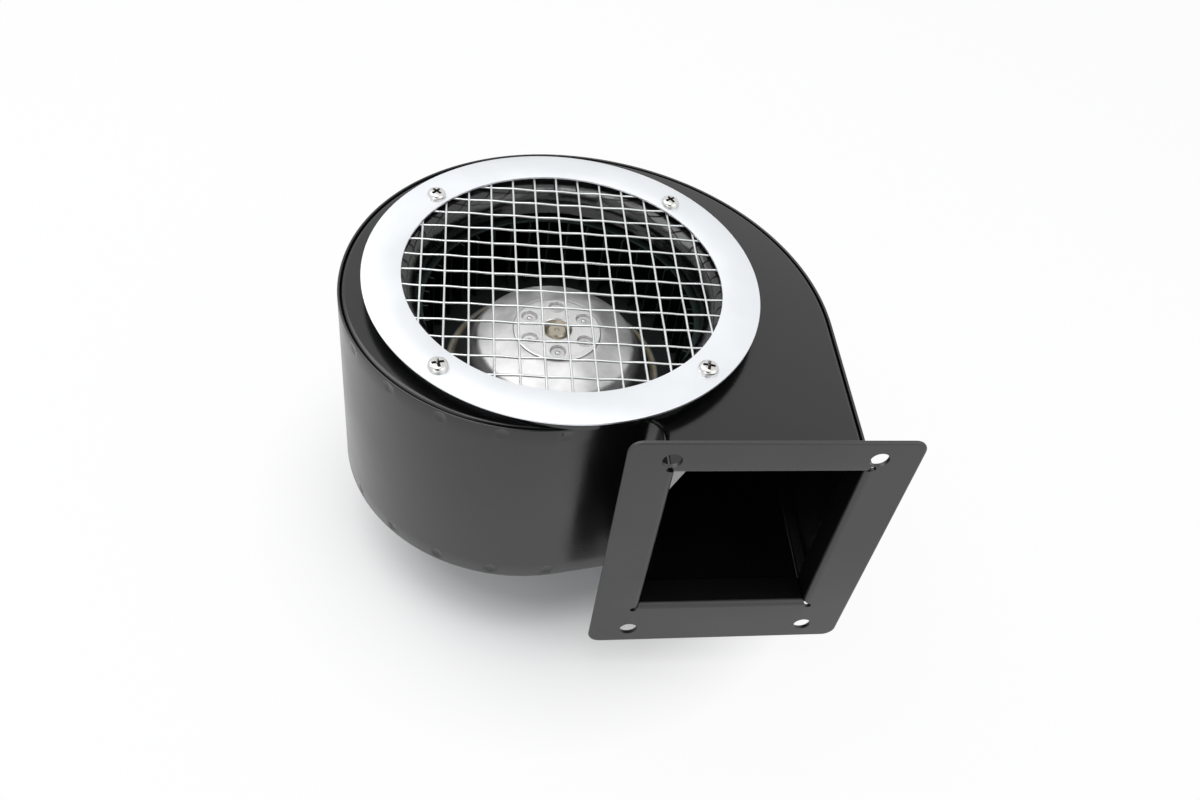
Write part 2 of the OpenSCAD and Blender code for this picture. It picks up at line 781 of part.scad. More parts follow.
module mount_screws() {
    head_z = scroll_z - mount_plate_t;
    color([0.75, 0.75, 0.74])
    translate([0, 0, head_z]) mirror([0, 0, 1]) mount_screw_places()
        pan_screw(mount_screw_d, mount_plate_t + plate_t + nut_h + 0.5, 2 * mount_screw_d, 0.7 * mount_screw_d);
}

module mount_nuts() {
    color([0.75, 0.75, 0.74])
    translate([0, 0, scroll_z + plate_t]) mount_screw_places() difference() {
        cylinder(h = nut_h, r = nut_r, $fn = 6);
        cylinder(h = 3 * nut_h, r = mount_screw_d / 2, center = true);
    }
}

// ---------------------------------------------------------------- all nodes

scroll_wrapper();
inlet_side_plate();
motor_side_plate();
outlet_flange();
inlet_collar();
guard_ring();
guard_mesh();
guard_screws();
wheel_blades();
wheel_disc();
wheel_front_ring();
wheel_rear_ring();
hub_plate();
hub_bush();
hub_rivets();
motor_shaft();
armature_core();
armature_windings();
commutator();
motor_can();
motor_front_cap();
motor_rear_cap();
motor_magnets();
front_bearing();
rear_bearing();
brush_plate();
brush_holders();
brushes();
brush_springs();
tie_bolts();
terminal_block();
spade_terminals();
mount_plate();
mount_screws();
mount_nuts();
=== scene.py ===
"""Looks of a direct-current centrifugal blower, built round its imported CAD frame."""

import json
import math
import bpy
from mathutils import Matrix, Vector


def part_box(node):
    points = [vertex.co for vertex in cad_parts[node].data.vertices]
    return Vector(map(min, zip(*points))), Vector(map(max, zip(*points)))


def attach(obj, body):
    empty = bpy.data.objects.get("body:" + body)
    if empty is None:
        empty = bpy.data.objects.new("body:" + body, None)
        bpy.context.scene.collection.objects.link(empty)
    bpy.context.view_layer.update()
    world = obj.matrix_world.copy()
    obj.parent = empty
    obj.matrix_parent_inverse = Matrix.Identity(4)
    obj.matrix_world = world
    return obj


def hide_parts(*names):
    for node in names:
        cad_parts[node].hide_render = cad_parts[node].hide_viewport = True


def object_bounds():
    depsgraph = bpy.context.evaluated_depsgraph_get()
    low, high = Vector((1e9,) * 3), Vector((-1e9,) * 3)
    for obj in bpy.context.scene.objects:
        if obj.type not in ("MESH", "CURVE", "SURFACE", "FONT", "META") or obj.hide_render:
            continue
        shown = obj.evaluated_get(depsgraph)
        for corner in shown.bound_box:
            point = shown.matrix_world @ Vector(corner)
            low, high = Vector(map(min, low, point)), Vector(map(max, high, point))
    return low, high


bl_info = {
    "name": "Centrifugal Blower",
    "version": (1, 0, 0),
    "blender": (4, 5, 0),
    "location": "3D View > Sidebar > Blower",
    "description": "Dresses the CAD frame of a guarded, flanged centrifugal blower",
    "category": "Object",
}

from collections import Counter

import bpy
from bpy.props import FloatProperty, FloatVectorProperty, IntProperty, PointerProperty
from bpy.types import Operator, Panel, PropertyGroup
from mathutils import Matrix, Quaternion, Vector

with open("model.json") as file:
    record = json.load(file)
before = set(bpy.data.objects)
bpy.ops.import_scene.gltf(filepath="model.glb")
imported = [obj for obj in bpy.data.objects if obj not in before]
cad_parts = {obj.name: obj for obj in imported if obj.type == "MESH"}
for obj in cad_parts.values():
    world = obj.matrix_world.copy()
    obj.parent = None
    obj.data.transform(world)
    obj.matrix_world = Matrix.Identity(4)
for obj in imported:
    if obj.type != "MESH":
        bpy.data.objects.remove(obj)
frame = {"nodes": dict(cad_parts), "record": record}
CAD_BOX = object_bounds()
MM = 0.001
FULL_TURN = 2 * math.pi
TOUCH = 1e-6  # points nearer to each other than this, in metres, are one


# ---- sizes and colours


def length(name, description, millimetres):
    """A length in metres, given here in millimetres."""
    return FloatProperty(
        name=name, description=description, default=millimetres * MM, min=0.0, unit="LENGTH", precision=5
    )


def angle(name, description, degrees):
    """An angle, given here in degrees."""
    return FloatProperty(name=name, description=description, default=math.radians(degrees), subtype="ANGLE")


def colour(name, description, red, green, blue):
    """A linear colour."""
    return FloatVectorProperty(
        name=name, description=description, default=(red, green, blue), subtype="COLOR", min=0.0, max=1.0
    )


class BlowerSizes(PropertyGroup):
    """Sizes that the frame's boxes don't give."""

    sheet: length("Sheet", "Thickness of the scroll's sheets", 1.0)
    front_radius: length("Front radius", "Radius of the wrapper at the front left", 72.2)
    duct_left: length("Duct left", "Left outer face of the duct from the axis", 28.5)
    cutoff_radius: length("Cut-off radius", "Radius of the rounded cut-off corner", 6.2)
    cutoff_rise: angle("Cut-off rise", "Rise of the wrapper towards the cut-off", 9.4)
    wall_lean: angle("Wall lean", "Inward lean of the outer duct wall", 2.4)
    pan_bend: length("Plate bend", "Outer radius of the bend round a side plate", 2.0)
    lip_bend: length("Lip bend", "Outer radius of the bend of an outlet lip", 2.2)
    flange_sheet: length("Flange sheet", "Thickness of the flange", 1.5)
    flange_corner: length("Flange corner", "Corner radius of the flange", 5.0)
    ring_bore: length("Ring bore", "Inner diameter of the guard ring", 121.0)
    throat: length("Throat", "Diameter of the inlet throat", 110.0)
    mouth: length("Mouth", "Radius of the rolled inlet mouth", 7.5)
    plate_hole: length("Plate hole", "Radius of the round hole in the inlet side plate", 62.0)
    motor_hole: length("Motor hole", "Radius of the round hole in the motor side plate", 35.0)
    wire: length("Wire", "Diameter of a guard wire", 0.9)
    wire_pitch: length("Wire pitch", "Spacing of the upright guard wires", 8.9)
    wire_rows: length("Wire rows", "Spacing of the sideways guard wires", 8.75)
    mesh_shift: length("Mesh shift", "Shift of the sideways wires away from the outlet", 0.2)
    screw_pitch: length("Screw pitch", "Spacing of the guard screws", 94.6)
    screw_shift: length("Screw shift", "Shift of the guard screws towards the outlet", 2.0)
    blade_count: IntProperty(name="Blades", description="Number of blades", default=40, min=12)
    blade_bore: length("Blade bore", "Diameter inside the blades", 101.0)
    blade_curve: length("Blade curve", "Radius of a blade's curve", 11.0)
    blade_sheet: length("Blade sheet", "Thickness of a blade", 0.7)
    rivet_circle: length("Rivet circle", "Diameter of the circle of hub rivets", 25.0)
    rivet_turn: angle("Rivet turn", "Turn of the first hub rivet from the X axis", 27.0)
    dimple: length("Dimple", "Diameter of the dimple round a rivet", 6.6)


class BlowerColours(PropertyGroup):
    """Base colours of the finishes."""

    paint: colour("Black paint", "Satin paint of the scroll", 0.0032, 0.0032, 0.0035)
    gloss: colour("Glossy black", "Paint of the inlet collar", 0.004, 0.004, 0.0044)
    zinc: colour("Zinc", "Plating of the guard ring", 0.8, 0.823, 0.85)
    wire: colour("Wire", "Galvanised guard wire", 0.72, 0.74, 0.74)
    nickel: colour("Nickel", "Screws", 0.66, 0.655, 0.64)
    # Painted shade: the blades and end rings are coloured near black for the dark inside of the housing.
    blades: colour("Blades", "Blades, near black as painted shade inside the housing", 0.03, 0.043, 0.04)
    hub: colour("Hub", "Spun hub", 0.74, 0.735, 0.735)
    brass: colour("Brass", "Brassy parts", 0.7, 0.52, 0.28)
    copper: colour("Copper", "Windings and commutator", 0.62, 0.3, 0.14)
    steel: colour("Steel", "Bare steel", 0.55, 0.55, 0.55)
    plastic: colour("Plastic", "Black moulded plastic", 0.02, 0.02, 0.021)
    floor: colour("Floor", "Floor and background", 0.84, 0.84, 0.84)


def sizes():
    return bpy.context.scene.blower_sizes


def colours():
    return bpy.context.scene.blower_colours


# ---- finishes


class Value:
    """A socket in a material, so that shader maths is written as Python expressions."""

    def __init__(self, finish, socket):
        self.finish = finish
        self.socket = socket

    def _math(self, operation, other):
        return self.finish.node("Math", {"operation": operation}, {0: self, 1: other})

    def __add__(self, other):
        return self._math("ADD", other)

    def __sub__(self, other):
        return self._math("SUBTRACT", other)

    def __mul__(self, other):
        return self._math("MULTIPLY", other)


class NodeTree:
    """A shader tree that takes one node at a time."""

    def __init__(self, tree):
        self.tree = tree

    def node(self, kind, settings=None, inputs=None, output=0):
        """Adds a node: its settings first, then the values or links of its sockets."""
        made = self.tree.nodes.new("ShaderNode" + kind)
        for key, setting in (settings or {}).items():
            setattr(made, key, setting)
        for key, given in (inputs or {}).items():
            if isinstance(given, Value):
                self.tree.links.new(given.socket, made.inputs[key])
            else:
                made.inputs[key].default_value = given
        return Value(self, made.outputs[output] if made.outputs else None)

    def seen(self):
        """1 where the camera sees a surface, straight or in a reflection, and 0 where it only lights."""
        kinds = ("Is Camera Ray", "Is Glossy Ray", "Is Transmission Ray")
        camera, glossy, through = (self.node("LightPath", output=kind) for kind in kinds)
        return camera + glossy + through

    def blend(self, low, high, factor):
        """A colour between two, each plain or varying, by a value from 0 to 1."""
        low, high = (end if isinstance(end, Value) else (*end, 1.0) for end in (low, high))
        return self.node("Mix", {"data_type": "RGBA"}, {"Factor": factor, 6: low, 7: high}, 2)


class Finish(NodeTree):
    """A material with one Principled shader whose patterns lie in the piece's own space."""

    SOCKETS = {"specular": "Specular IOR Level", "base": "Base Color"}

    def __init__(self, name, **constants):
        self.material = bpy.data.materials.new(name)
        self.material.use_nodes = True
        super().__init__(self.material.node_tree)
        self.shader = self.tree.nodes["Principled BSDF"]
        for socket, given in constants.items():
            self.shader.inputs[self.SOCKETS.get(socket, socket.title())].default_value = given
        self.place = self.node("TexCoord", output="Object")

    def feed(self, socket, given):
        """Links a varying value to one of the shader's sockets."""
        self.tree.links.new(given.socket, self.shader.inputs[socket])

    def noise(self, scale, detail=2.0, stretch=(1, 1, 1), place=None):
        """Noise from 0 to 1, with a scale per metre that stretch multiplies along each axis."""
        stretched = self.node("Mapping", {}, {"Vector": place or self.place, "Scale": stretch})
        return self.node("TexNoise", {}, {"Vector": stretched, "Scale": scale, "Detail": detail})

    def clamp(self, value, low, high, to_low=0.0, to_high=1.0):
        """Maps a value's range from low and high to another one, and clamps it there."""
        return self.node("MapRange", {}, {0: value, 1: low, 2: high, 3: to_low, 4: to_high})

    def around_axis(self):
        """Distance from the wheel's axis, as a place that varies outwards only."""
        flat = self.node("VectorMath", {"operation": "MULTIPLY"}, {0: self.place, 1: (1.0, 1.0, 0.0)})
        distance = self.node("VectorMath", {"operation": "LENGTH"}, {0: flat}, "Value")
        height = self.node("SeparateXYZ", {}, {0: self.place}, "Z")
        return self.node("CombineXYZ", {}, {"X": distance, "Y": height})

    def dress(self, tone, wear, rough, relief, strength, depth):
        """Feeds a colour, a roughness that a pattern moves within a range, and a bump."""
        self.feed("Base Color", tone)
        self.feed("Roughness", self.clamp(wear, 0.3, 0.7, *rough))
        bump = {"Height": relief, "Strength": strength, "Distance": depth * MM}
        self.feed("Normal", self.node("Bump", {}, bump))
        return self.material


def lighter(base, factor):
    """A colour scaled by a factor."""
    return tuple(min(1.0, channel * factor) for channel in base)


def tones(finish, base, dark, light, pattern):
    """A base colour that a pattern darkens and lightens."""
    return finish.blend(lighter(base, dark), lighter(base, light), pattern)


def painted_sheet(name, base, gloss, shine=0.6):
    """Paint on sheet steel: fine orange peel, faint cloudiness and rubbed patches."""
    paint = Finish(name, specular=shine)
    cloud, peel = paint.noise(28.0, 3.0), paint.noise(900.0)
    rough = (gloss - 0.04, gloss + 0.05)
    return paint.dress(tones(paint, base, 0.85, 1.25, cloud), cloud, rough, peel, 0.08, 0.2)


def rolled_gloss(name, base, gloss):
    """Glossy paint over a rolled edge whose metal is a little wrinkled."""
    paint = Finish(name, specular=0.7)
    cloud = paint.noise(28.0, 3.0)
    wrinkles = paint.noise(75.0, 1.0, (1, 0.6, 1.6)) * 0.9 + paint.noise(300.0, 1.0) * 0.1
    rough = (gloss - 0.03, gloss + 0.08)
    return paint.dress(tones(paint, base, 0.85, 1.25, cloud), cloud, rough, wrinkles, 0.55, 2.0)


def plated_sheet(name, base, roughness, grain=(1, 1, 1)):
    """Plated metal with faint cloudy patches and a fine grain."""
    plate = Finish(name, metallic=1.0)
    cloud, fine = plate.noise(35.0, 4.0), plate.noise(1500.0, 2.0, grain)
    tone = tones(plate, base, 0.93, 1.05, cloud)
    rough = (roughness - 0.06, roughness + 0.08)
    return plate.dress(tone, cloud * 0.6 + fine * 0.4, rough, fine, 0.06, 0.1)


def turned_metal(name, base, roughness):
    """Metal with turning marks round the wheel's axis."""
    metal = Finish(name, metallic=1.0)
    marks = metal.noise(2500.0, 3.0, place=metal.around_axis())
    broad = metal.noise(160.0, 2.0, place=metal.around_axis())
    tone = tones(metal, base, 0.82, 1.08, broad)
    rough = (roughness - 0.08, roughness + 0.1)
    return metal.dress(tone, marks * 0.5 + broad * 0.5, rough, marks, 0.12, 0.1)


def spun_dome(name, base, roughness):
    """Spun metal with soft radial streaks, a steep wall darkened as painted shade, a brassy foot that is partly
    painted highlight, and a flat beyond it darkened as painted shade.
    """
    metal = Finish(name, metallic=1.0)
    around = metal.around_axis()
    radius = metal.node("SeparateXYZ", {}, {0: around}, "X")

    def beyond(start, end):
        """0 up to one radius and 1 from another one on, both in millimetres."""
        return metal.clamp(radius, start * MM, end * MM)

    marks = metal.noise(2500.0, 3.0, place=around)
    streaks = metal.noise(70.0, 3.0, (1, 1, 0.2))
    tone = tones(metal, base, 0.72, 1.1, metal.clamp(streaks, 0.35, 0.65))
    # Painted shade: the flat beyond the foot, deep inside the wheel, is coloured near black.
    flat = beyond(41.8, 43.6)
    # The foot's brassy band is partly the metal's own tint and partly a painted highlight on its bend, broken
    # by noise into glints.
    foot = (beyond(39.6, 40.6) - flat) * metal.clamp(metal.noise(60.0), 0.35, 0.6)
    # Painted shade: the steep wall between the shoulder and the foot is coloured dark grey.
    tone = metal.blend(tone, (0.2, 0.2, 0.2), beyond(33, 35) - beyond(39.6, 40.6))
    tone = metal.blend(tone, (0.7, 0.62, 0.4), foot)
    tone = metal.blend(tone, (0.035, 0.04, 0.04), flat)
    relief = marks * 0.3 + metal.noise(90.0) * 0.7
    rough = (roughness - 0.1, roughness + 0.1)
    return metal.dress(tone, marks * 0.4 + streaks * 0.6, rough, relief, 0.12, 0.8)


def plain_solid(name, base, roughness, metallic=0.0, grain=700.0):
    """A cast, moulded or wound material with a fine grain."""
    solid = Finish(name, metallic=metallic)
    fine = solid.noise(grain, 3.0)
    rough = (roughness - 0.05, roughness + 0.08)
    return solid.dress(tones(solid, base, 0.8, 1.2, fine), fine, rough, fine, 0.15, 0.1)


def stacked_metal(name, base, along):
    """Layers or turns along one axis, such as laminations or windings."""
    stack = Finish(name, metallic=0.8)
    layers = stack.noise(1.0, 0.0, along)
    return stack.dress(tones(stack, base, 0.55, 1.2, layers), layers, (0.35, 0.6), layers, 0.5, 0.3)


FINISHES = {}


def make_finishes():
    """One material for each of the record's material slots, and three more for parts of a piece: painted shade
    inside the duct and in the screw recesses, and painted light on the corner tab.
    """
    c = colours()
    FINISHES.update(
        black_paint=painted_sheet("Black paint on wrapper", c.paint, 0.23, 0.7),
        black_plate=painted_sheet("Black paint on plates", c.paint, 0.2, 0.58),
        black_flange=painted_sheet("Black paint on flange", c.paint, 0.4, 0.85),
        black_gloss=rolled_gloss("Glossy black paint", c.gloss, 0.16),
        zinc_plate=plated_sheet("Bright zinc", c.zinc, 0.42),
        galvanised_wire=plated_sheet("Galvanised wire", c.wire, 0.3),
        # Painted shade: a darker, duller copy of the black paint for the lips inside the duct.
        duct_paint=painted_sheet("Duct painted shade", lighter(c.paint, 0.35), 0.5, 0.15),
        # Painted light: a light metal for the corner tab, standing for the lit wheel seen through that corner.
        bare_tab=plated_sheet("Corner tab painted light", (0.3, 0.3, 0.3), 0.4),
        nickel_screw=plated_sheet("Nickel screws", c.nickel, 0.25),
        # Painted shade: a dark copy of the screw metal for the deep faces of the cross recess.
        screw_recess=plated_sheet("Screw recess painted shade", (0.06, 0.056, 0.05), 0.5),
        # Painted shade: a near-black metal for the blades and end rings inside the housing.
        blade_steel=plated_sheet("Blade steel in painted shade", c.blades, 0.45, (1, 1, 0.1)),
        spun_aluminium=spun_dome("Spun hub metal", c.hub, 0.56),
        hub_steel=turned_metal("Hub plate", lighter(c.hub, 1.18), 0.3),
        bush_steel=turned_metal("Hub bush", (0.24, 0.215, 0.17), 0.4),
        rivet_aluminium=plated_sheet("Rivets", lighter(c.hub, 0.8), 0.35),
        shaft_steel=turned_metal("Shaft", (0.5, 0.46, 0.38), 0.3),
        core_steel=stacked_metal("Laminated core", (0.3, 0.3, 0.31), (0, 0, 1200)),
        copper_wire=stacked_metal("Copper windings", c.copper, (900, 900, 900)),
        commutator_copper=turned_metal("Commutator", c.copper, 0.35),
        can_steel=painted_sheet("Motor can paint", lighter(c.paint, 1.3), 0.35),
        cap_aluminium=plain_solid("Cast end caps", (0.5, 0.51, 0.52), 0.45, 1.0, 350.0),
        ferrite=plain_solid("Ferrite", (0.03, 0.03, 0.032), 0.7),
        bearing_bronze=turned_metal("Bearing bronze", lighter(c.brass, 0.8), 0.4),
        phenolic=plain_solid("Phenolic board", (0.16, 0.07, 0.03), 0.5),
        holder_brass=plated_sheet("Holder brass", c.brass, 0.3),
        carbon=plain_solid("Carbon", (0.015, 0.015, 0.015), 0.6),
        spring_steel=plated_sheet("Spring strip", c.steel, 0.3),
        zinc_screw=plated_sheet("Zinc screws", lighter(c.nickel, 0.9), 0.3),
        black_plastic=plain_solid("Black plastic", c.plastic, 0.5),
        terminal_brass=plated_sheet("Tinned brass", lighter(c.brass, 1.15), 0.3),
        mount_steel=plated_sheet("Mounting plate", lighter(c.zinc, 0.85), 0.35),
    )


# ---- modelling by hand


def mode(name):
    """Changes to object or edit mode."""
    bpy.ops.object.mode_set(mode=name)


def select(everything):
    """Selects all or none of the mesh in edit mode."""
    bpy.ops.mesh.select_all(action="SELECT" if everything else "DESELECT")


def release():
    """Deselects every object."""
    bpy.ops.object.select_all(action="DESELECT")


def smooth(degrees):
    """Smooths the active object's shading, apart from edges sharper than an angle."""
    bpy.ops.object.shade_smooth_by_angle(angle=math.radians(degrees))


def start(name):
    """Begins a new piece as one vertex on the origin, in edit mode."""
    release()
    bpy.ops.mesh.primitive_plane_add(size=MM, location=(0, 0, 0))
    piece = bpy.context.object
    piece.name = piece.data.name = name
    mode("EDIT")
    bpy.ops.mesh.select_mode(type="VERT")
    bpy.ops.mesh.merge(type="CENTER")
    select(True)
    return piece


def draw(points, fill=False):
    """Draws a chain of edges from the lone vertex of a new piece, and fills it if it is a section."""
    bpy.ops.transform.translate(value=points[0])
    for here, there in zip(points, points[1:]):
        step = Vector(there) - Vector(here)
        bpy.ops.mesh.extrude_vertices_move(TRANSFORM_OT_translate={"value": step})
    select(True)
    if fill:
        bpy.ops.mesh.edge_face_add()


def draw_loop(name, points):
    """A new piece that is one closed loop of edges, selected in edit mode."""
    piece = start(name)
    draw(points)
    select(False)
    mode("OBJECT")
    for point in (points[0], points[-1]):
        min(piece.data.vertices, key=lambda v: (v.co - Vector(point)).length).select = True
    mode("EDIT")
    bpy.ops.mesh.edge_face_add()
    select(True)
    return piece


def push(x, y, z=0.0):
    """Extrudes the selected section along a straight run."""
    bpy.ops.mesh.extrude_context_move(TRANSFORM_OT_translate={"value": (x, y, z)})


def thicken(x, y, z):
    """Extrudes the selected faces into a solid."""
    bpy.ops.mesh.extrude_region_move(TRANSFORM_OT_translate={"value": (x, y, z)})


def swing(centre, degrees, steps):
    """Spins the selected section anticlockwise round an upright axis."""
    turn = -math.radians(degrees)
    bpy.ops.mesh.spin(steps=steps, angle=turn, center=(centre[0], centre[1], 0), axis=(0, 0, 1))


def weld():
    """Makes one vertex of each two that touch."""
    select(True)
    bpy.ops.mesh.remove_doubles(threshold=TOUCH)


def done(sharp=35.0):
    """Ends editing: welds, turns faces outwards and smooths all but the sharp edges."""
    weld()
    bpy.ops.mesh.normals_make_consistent(inside=False)
    mode("OBJECT")
    if sharp:
        smooth(sharp)
    return bpy.context.object


def apply(piece, kind, **settings):
    """Adds a modifier with these settings and applies it."""
    bpy.context.view_layer.objects.active = piece
    modifier = piece.modifiers.new(kind.title(), kind)
    for key, setting in settings.items():
        setattr(modifier, key, setting)
    bpy.ops.object.modifier_apply(modifier=modifier.name)


def solidify(sheet, outward, thickness, sharp, **settings):
    """Turns a sheet's widest face outwards, and gives the sheet a thickness behind it."""
    widest = max(sheet.data.polygons, key=lambda face: face.area)
    if widest.normal.dot(outward) < 0:
        sheet.data.flip_normals()
    apply(sheet, "SOLIDIFY", thickness=thickness, offset=-1.0, **settings)
    smooth(sharp)


def lathe(name, outline, steps=128, closed=True):
    """Turns an outline of (radius, height) round the wheel's axis."""
    points = [(radius, 0, height) for radius, height in outline]
    if closed:
        draw_loop(name, points)
    else:
        start(name)
        draw(points)
    swing((0, 0), 360, steps)
    return done()


def profile(base, *points):
    """Points of an outline, from radii and heights above a base in millimetres."""
    return [(radius * MM, base + height * MM) for radius, height in points]


def arc(centre, radius, start_degrees, end_degrees, steps):
    """Points along an arc, in a plane."""
    points = []
    for step in range(steps + 1):
        turn = math.radians(start_degrees + (end_degrees - start_degrees) * step / steps)
        points.append((centre[0] + radius * math.cos(turn), centre[1] + radius * math.sin(turn)))
    return points


def rounded(points, radii, steps):
    """A plane chain whose inner corners are rounded, each by its own radius."""
    out = [points[0]]
    for before, corner, after, radius in zip(points, points[1:], points[2:], radii):
        corner = Vector(corner)
        back, ahead = ((Vector(end) - corner).normalized() for end in (before, after))
        half = back.angle(ahead) / 2
        middle = corner + (back + ahead).normalized() * radius / math.sin(half)
        first, last = (corner + way * radius / math.tan(half) - middle for way in (back, ahead))
        out += [tuple(middle + turned(first, last, step / steps)) for step in range(steps + 1)]
    return [*out, points[-1]]


def turned(first, last, share):
    """A plane vector turned from first towards last by a share of their angle."""
    swept = -first.angle_signed(last) * share
    cos, sin = math.cos(swept), math.sin(swept)
    return Vector((first.x * cos - first.y * sin, first.x * sin + first.y * cos))


def join(name, *pieces):
    """Joins pieces into one object."""
    release()
    for piece in pieces:
        piece.select_set(True)
    bpy.context.view_layer.objects.active = pieces[0]
    bpy.ops.object.join()
    pieces[0].name = pieces[0].data.name = name
    return pieces[0]


def duplicate(piece, matrix):
    """A copy of a piece with a mesh of its own, moved by a matrix."""
    copy = piece.copy()
    copy.data = piece.data.copy()
    copy.data.transform(matrix)
    bpy.context.collection.objects.link(copy)
    return copy


def copies(piece, matrices):
    """Puts a copy of a piece at each matrix in its stead, all joined into one object."""
    made = [duplicate(piece, matrix) for matrix in matrices]
    name = piece.name
    bpy.data.objects.remove(piece)
    return join(name, *made)


def carve(piece, cutter):
    """Cuts a piece with another one, which is then removed."""
    apply(piece, "BOOLEAN", operation="DIFFERENCE", object=cutter, solver="EXACT")
    bpy.data.objects.remove(cutter)


def pick(piece, wanted):
    """Selects the edges that border on less than two faces and whose ends both pass a test."""
    bpy.ops.mesh.select_mode(type="EDGE")
    select(False)
    mode("OBJECT")
    faces = Counter(key for side in piece.data.polygons for key in side.edge_keys)
    for line in piece.data.edges:
        ends = (piece.data.vertices[i].co for i in line.vertices)
        line.select = faces[line.key] < 2 and all(wanted(end) for end in ends)
    mode("EDIT")


def seat(piece, body, slot, *nodes):
    """Gives a piece its finish and body, and says which CAD nodes it stands for."""
    piece.data.materials.clear()
    piece.data.materials.append(FINISHES[slot])
    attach(piece, body)
    if nodes:
        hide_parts(*nodes)


def low_high(node):
    """Lowest and highest corner of a CAD node."""
    low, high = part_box(node)
    return Vector(low), Vector(high)


def turn_about_axis(degrees, place=(0, 0, 0)):
    """Turns about an upright axis through a place."""
    return Matrix.Translation(place) @ Matrix.Rotation(math.radians(degrees), 4, "Z")


# ---- scroll


class Spiral:
    """Plan of the scroll: the centres and radii of its arcs, and the ends of its straight runs."""

    def __init__(self):
        s = sizes()
        low, high = low_high("scroll_wrapper")
        self.low, self.high = low.z, high.z
        self.end_y = low.y
        self.front_radius = s.front_radius
        self.back_radius = high.y
        self.front = Vector((low.x + self.front_radius, 0))
        self.back = Vector((low.x + self.back_radius, 0))
        self.right_radius = high.x - self.back.x
        self.right = Vector((self.back.x, self.back_radius - self.right_radius))
        self.rise = s.cutoff_rise
        tangent = self.front + self.front_radius * Vector((math.sin(self.rise), -math.cos(self.rise)))
        corner_x = s.duct_left - s.cutoff_radius
        corner_y = tangent.y + (corner_x - tangent.x) * math.tan(self.rise)
        self.corner = Vector((corner_x, corner_y - s.cutoff_radius / math.cos(self.rise)))
        turn = math.radians(90) + self.rise
        self.tongue = tangent - (self.corner + s.cutoff_radius * Vector((math.cos(turn), math.sin(turn))))
        self.lean = s.wall_lean
        self.wall_top = self.right + self.right_radius * Vector((math.cos(self.lean), -math.sin(self.lean)))

    def sweep(self, end_y):
        """Sweeps the selected section, drawn at the left duct wall's end, right round the scroll."""
        push(0, self.corner.y - end_y)
        swing(self.corner, 90 + math.degrees(self.rise), 14)
        push(*self.tongue)
        swing(self.front, -90 - math.degrees(self.rise), 44)
        swing(self.back, -90, 44)
        swing(self.right, -90 - math.degrees(self.lean), 48)
        drop = self.wall_top.y - end_y
        push(-drop * math.tan(self.lean), -drop)

    def wall_x(self, inset, y):
        """Sideways place of the outer duct wall."""
        return self.wall_top.x - inset - (self.wall_top.y - y) * math.tan(self.lean)


def spot_welds(spiral):
    """Balls that press the shallow dimples of the spot welds along both rims."""
    ball, depth = 12 * MM, 0.32 * MM
    directions = [206 + 17.5 * step for step in range(-11, 5)]  # degrees, from each arc's centre
    arcs = (  # first and last direction, centre and radius
        (182, 277, spiral.front, spiral.front_radius),
        (92, 178, spiral.back, spiral.back_radius),
        (4, 88, spiral.right, spiral.right_radius),
    )
    release()
    bpy.ops.mesh.primitive_uv_sphere_add(segments=32, ring_count=24, radius=ball)
    press = bpy.context.object
    places = []
    for row in (spiral.low + 4 * MM, spiral.high - 3 * MM):
        for degrees in directions:
            turn = math.radians(degrees)
            out = Vector((math.cos(turn), math.sin(turn)))
            for first, last, centre, radius in arcs:
                if first < degrees < last:
                    place = centre + out * (radius + ball - depth)
                    places.append(Matrix.Translation((*place, row)))
    return copies(press, places)


class BLOWER_OT_wrapper(Operator):
    """Make the spiral wrapper with its spot welds"""

    bl_idname = "blower.wrapper"
    bl_label = "Scroll Wrapper"

    def execute(self, context):
        s = sizes()
        spiral = Spiral()
        soft, band = 0.42 * MM, 8 * MM
        x0, x1, low, high = s.duct_left, s.duct_left + s.sheet, spiral.low, spiral.high
        section = arc((x1 - soft, low + soft), soft, 270, 360, 3)
        section += [(x1, low + band), (x1, high - band)]
        section += arc((x1 - soft, high - soft), soft, 0, 90, 3)
        section += arc((x0 + soft, high - soft), soft, 90, 180, 3)
        section += [(x0, high - band), (x0, low + band)]
        section += arc((x0 + soft, low + soft), soft, 180, 270, 3)
        wrapper = start("Scroll_wrapper")
        draw([(x, spiral.end_y, z) for x, z in section], fill=True)
        spiral.sweep(spiral.end_y)
        done()
        carve(wrapper, spot_welds(spiral))
        seat(wrapper, "housing", "black_paint", "scroll_wrapper")
        return {"FINISHED"}


def side_plate(name, face, side, depth, hole):
    """A side plate whose face lies at a height, with its skirt to one side of it."""
    s = sizes()
    spiral = Spiral()
    bend = s.pan_bend
    lip_end = spiral.end_y + 10.3 * MM  # the skirt stops here, behind the outlet's lips
    edge_x = s.duct_left + s.sheet
    section = [(edge_x, face + side * depth)]
    section += arc((edge_x + bend, face + side * bend), bend, 180, 180 + side * 90, 6)
    pan = start(name)
    draw([(x, lip_end, z) for x, z in section])
    spiral.sweep(lip_end)
    close_flat(pan, spiral, face, lip_end, hole)
    done()
    solidify(pan, (0, 0, -side), s.sheet, 35)
    return pan


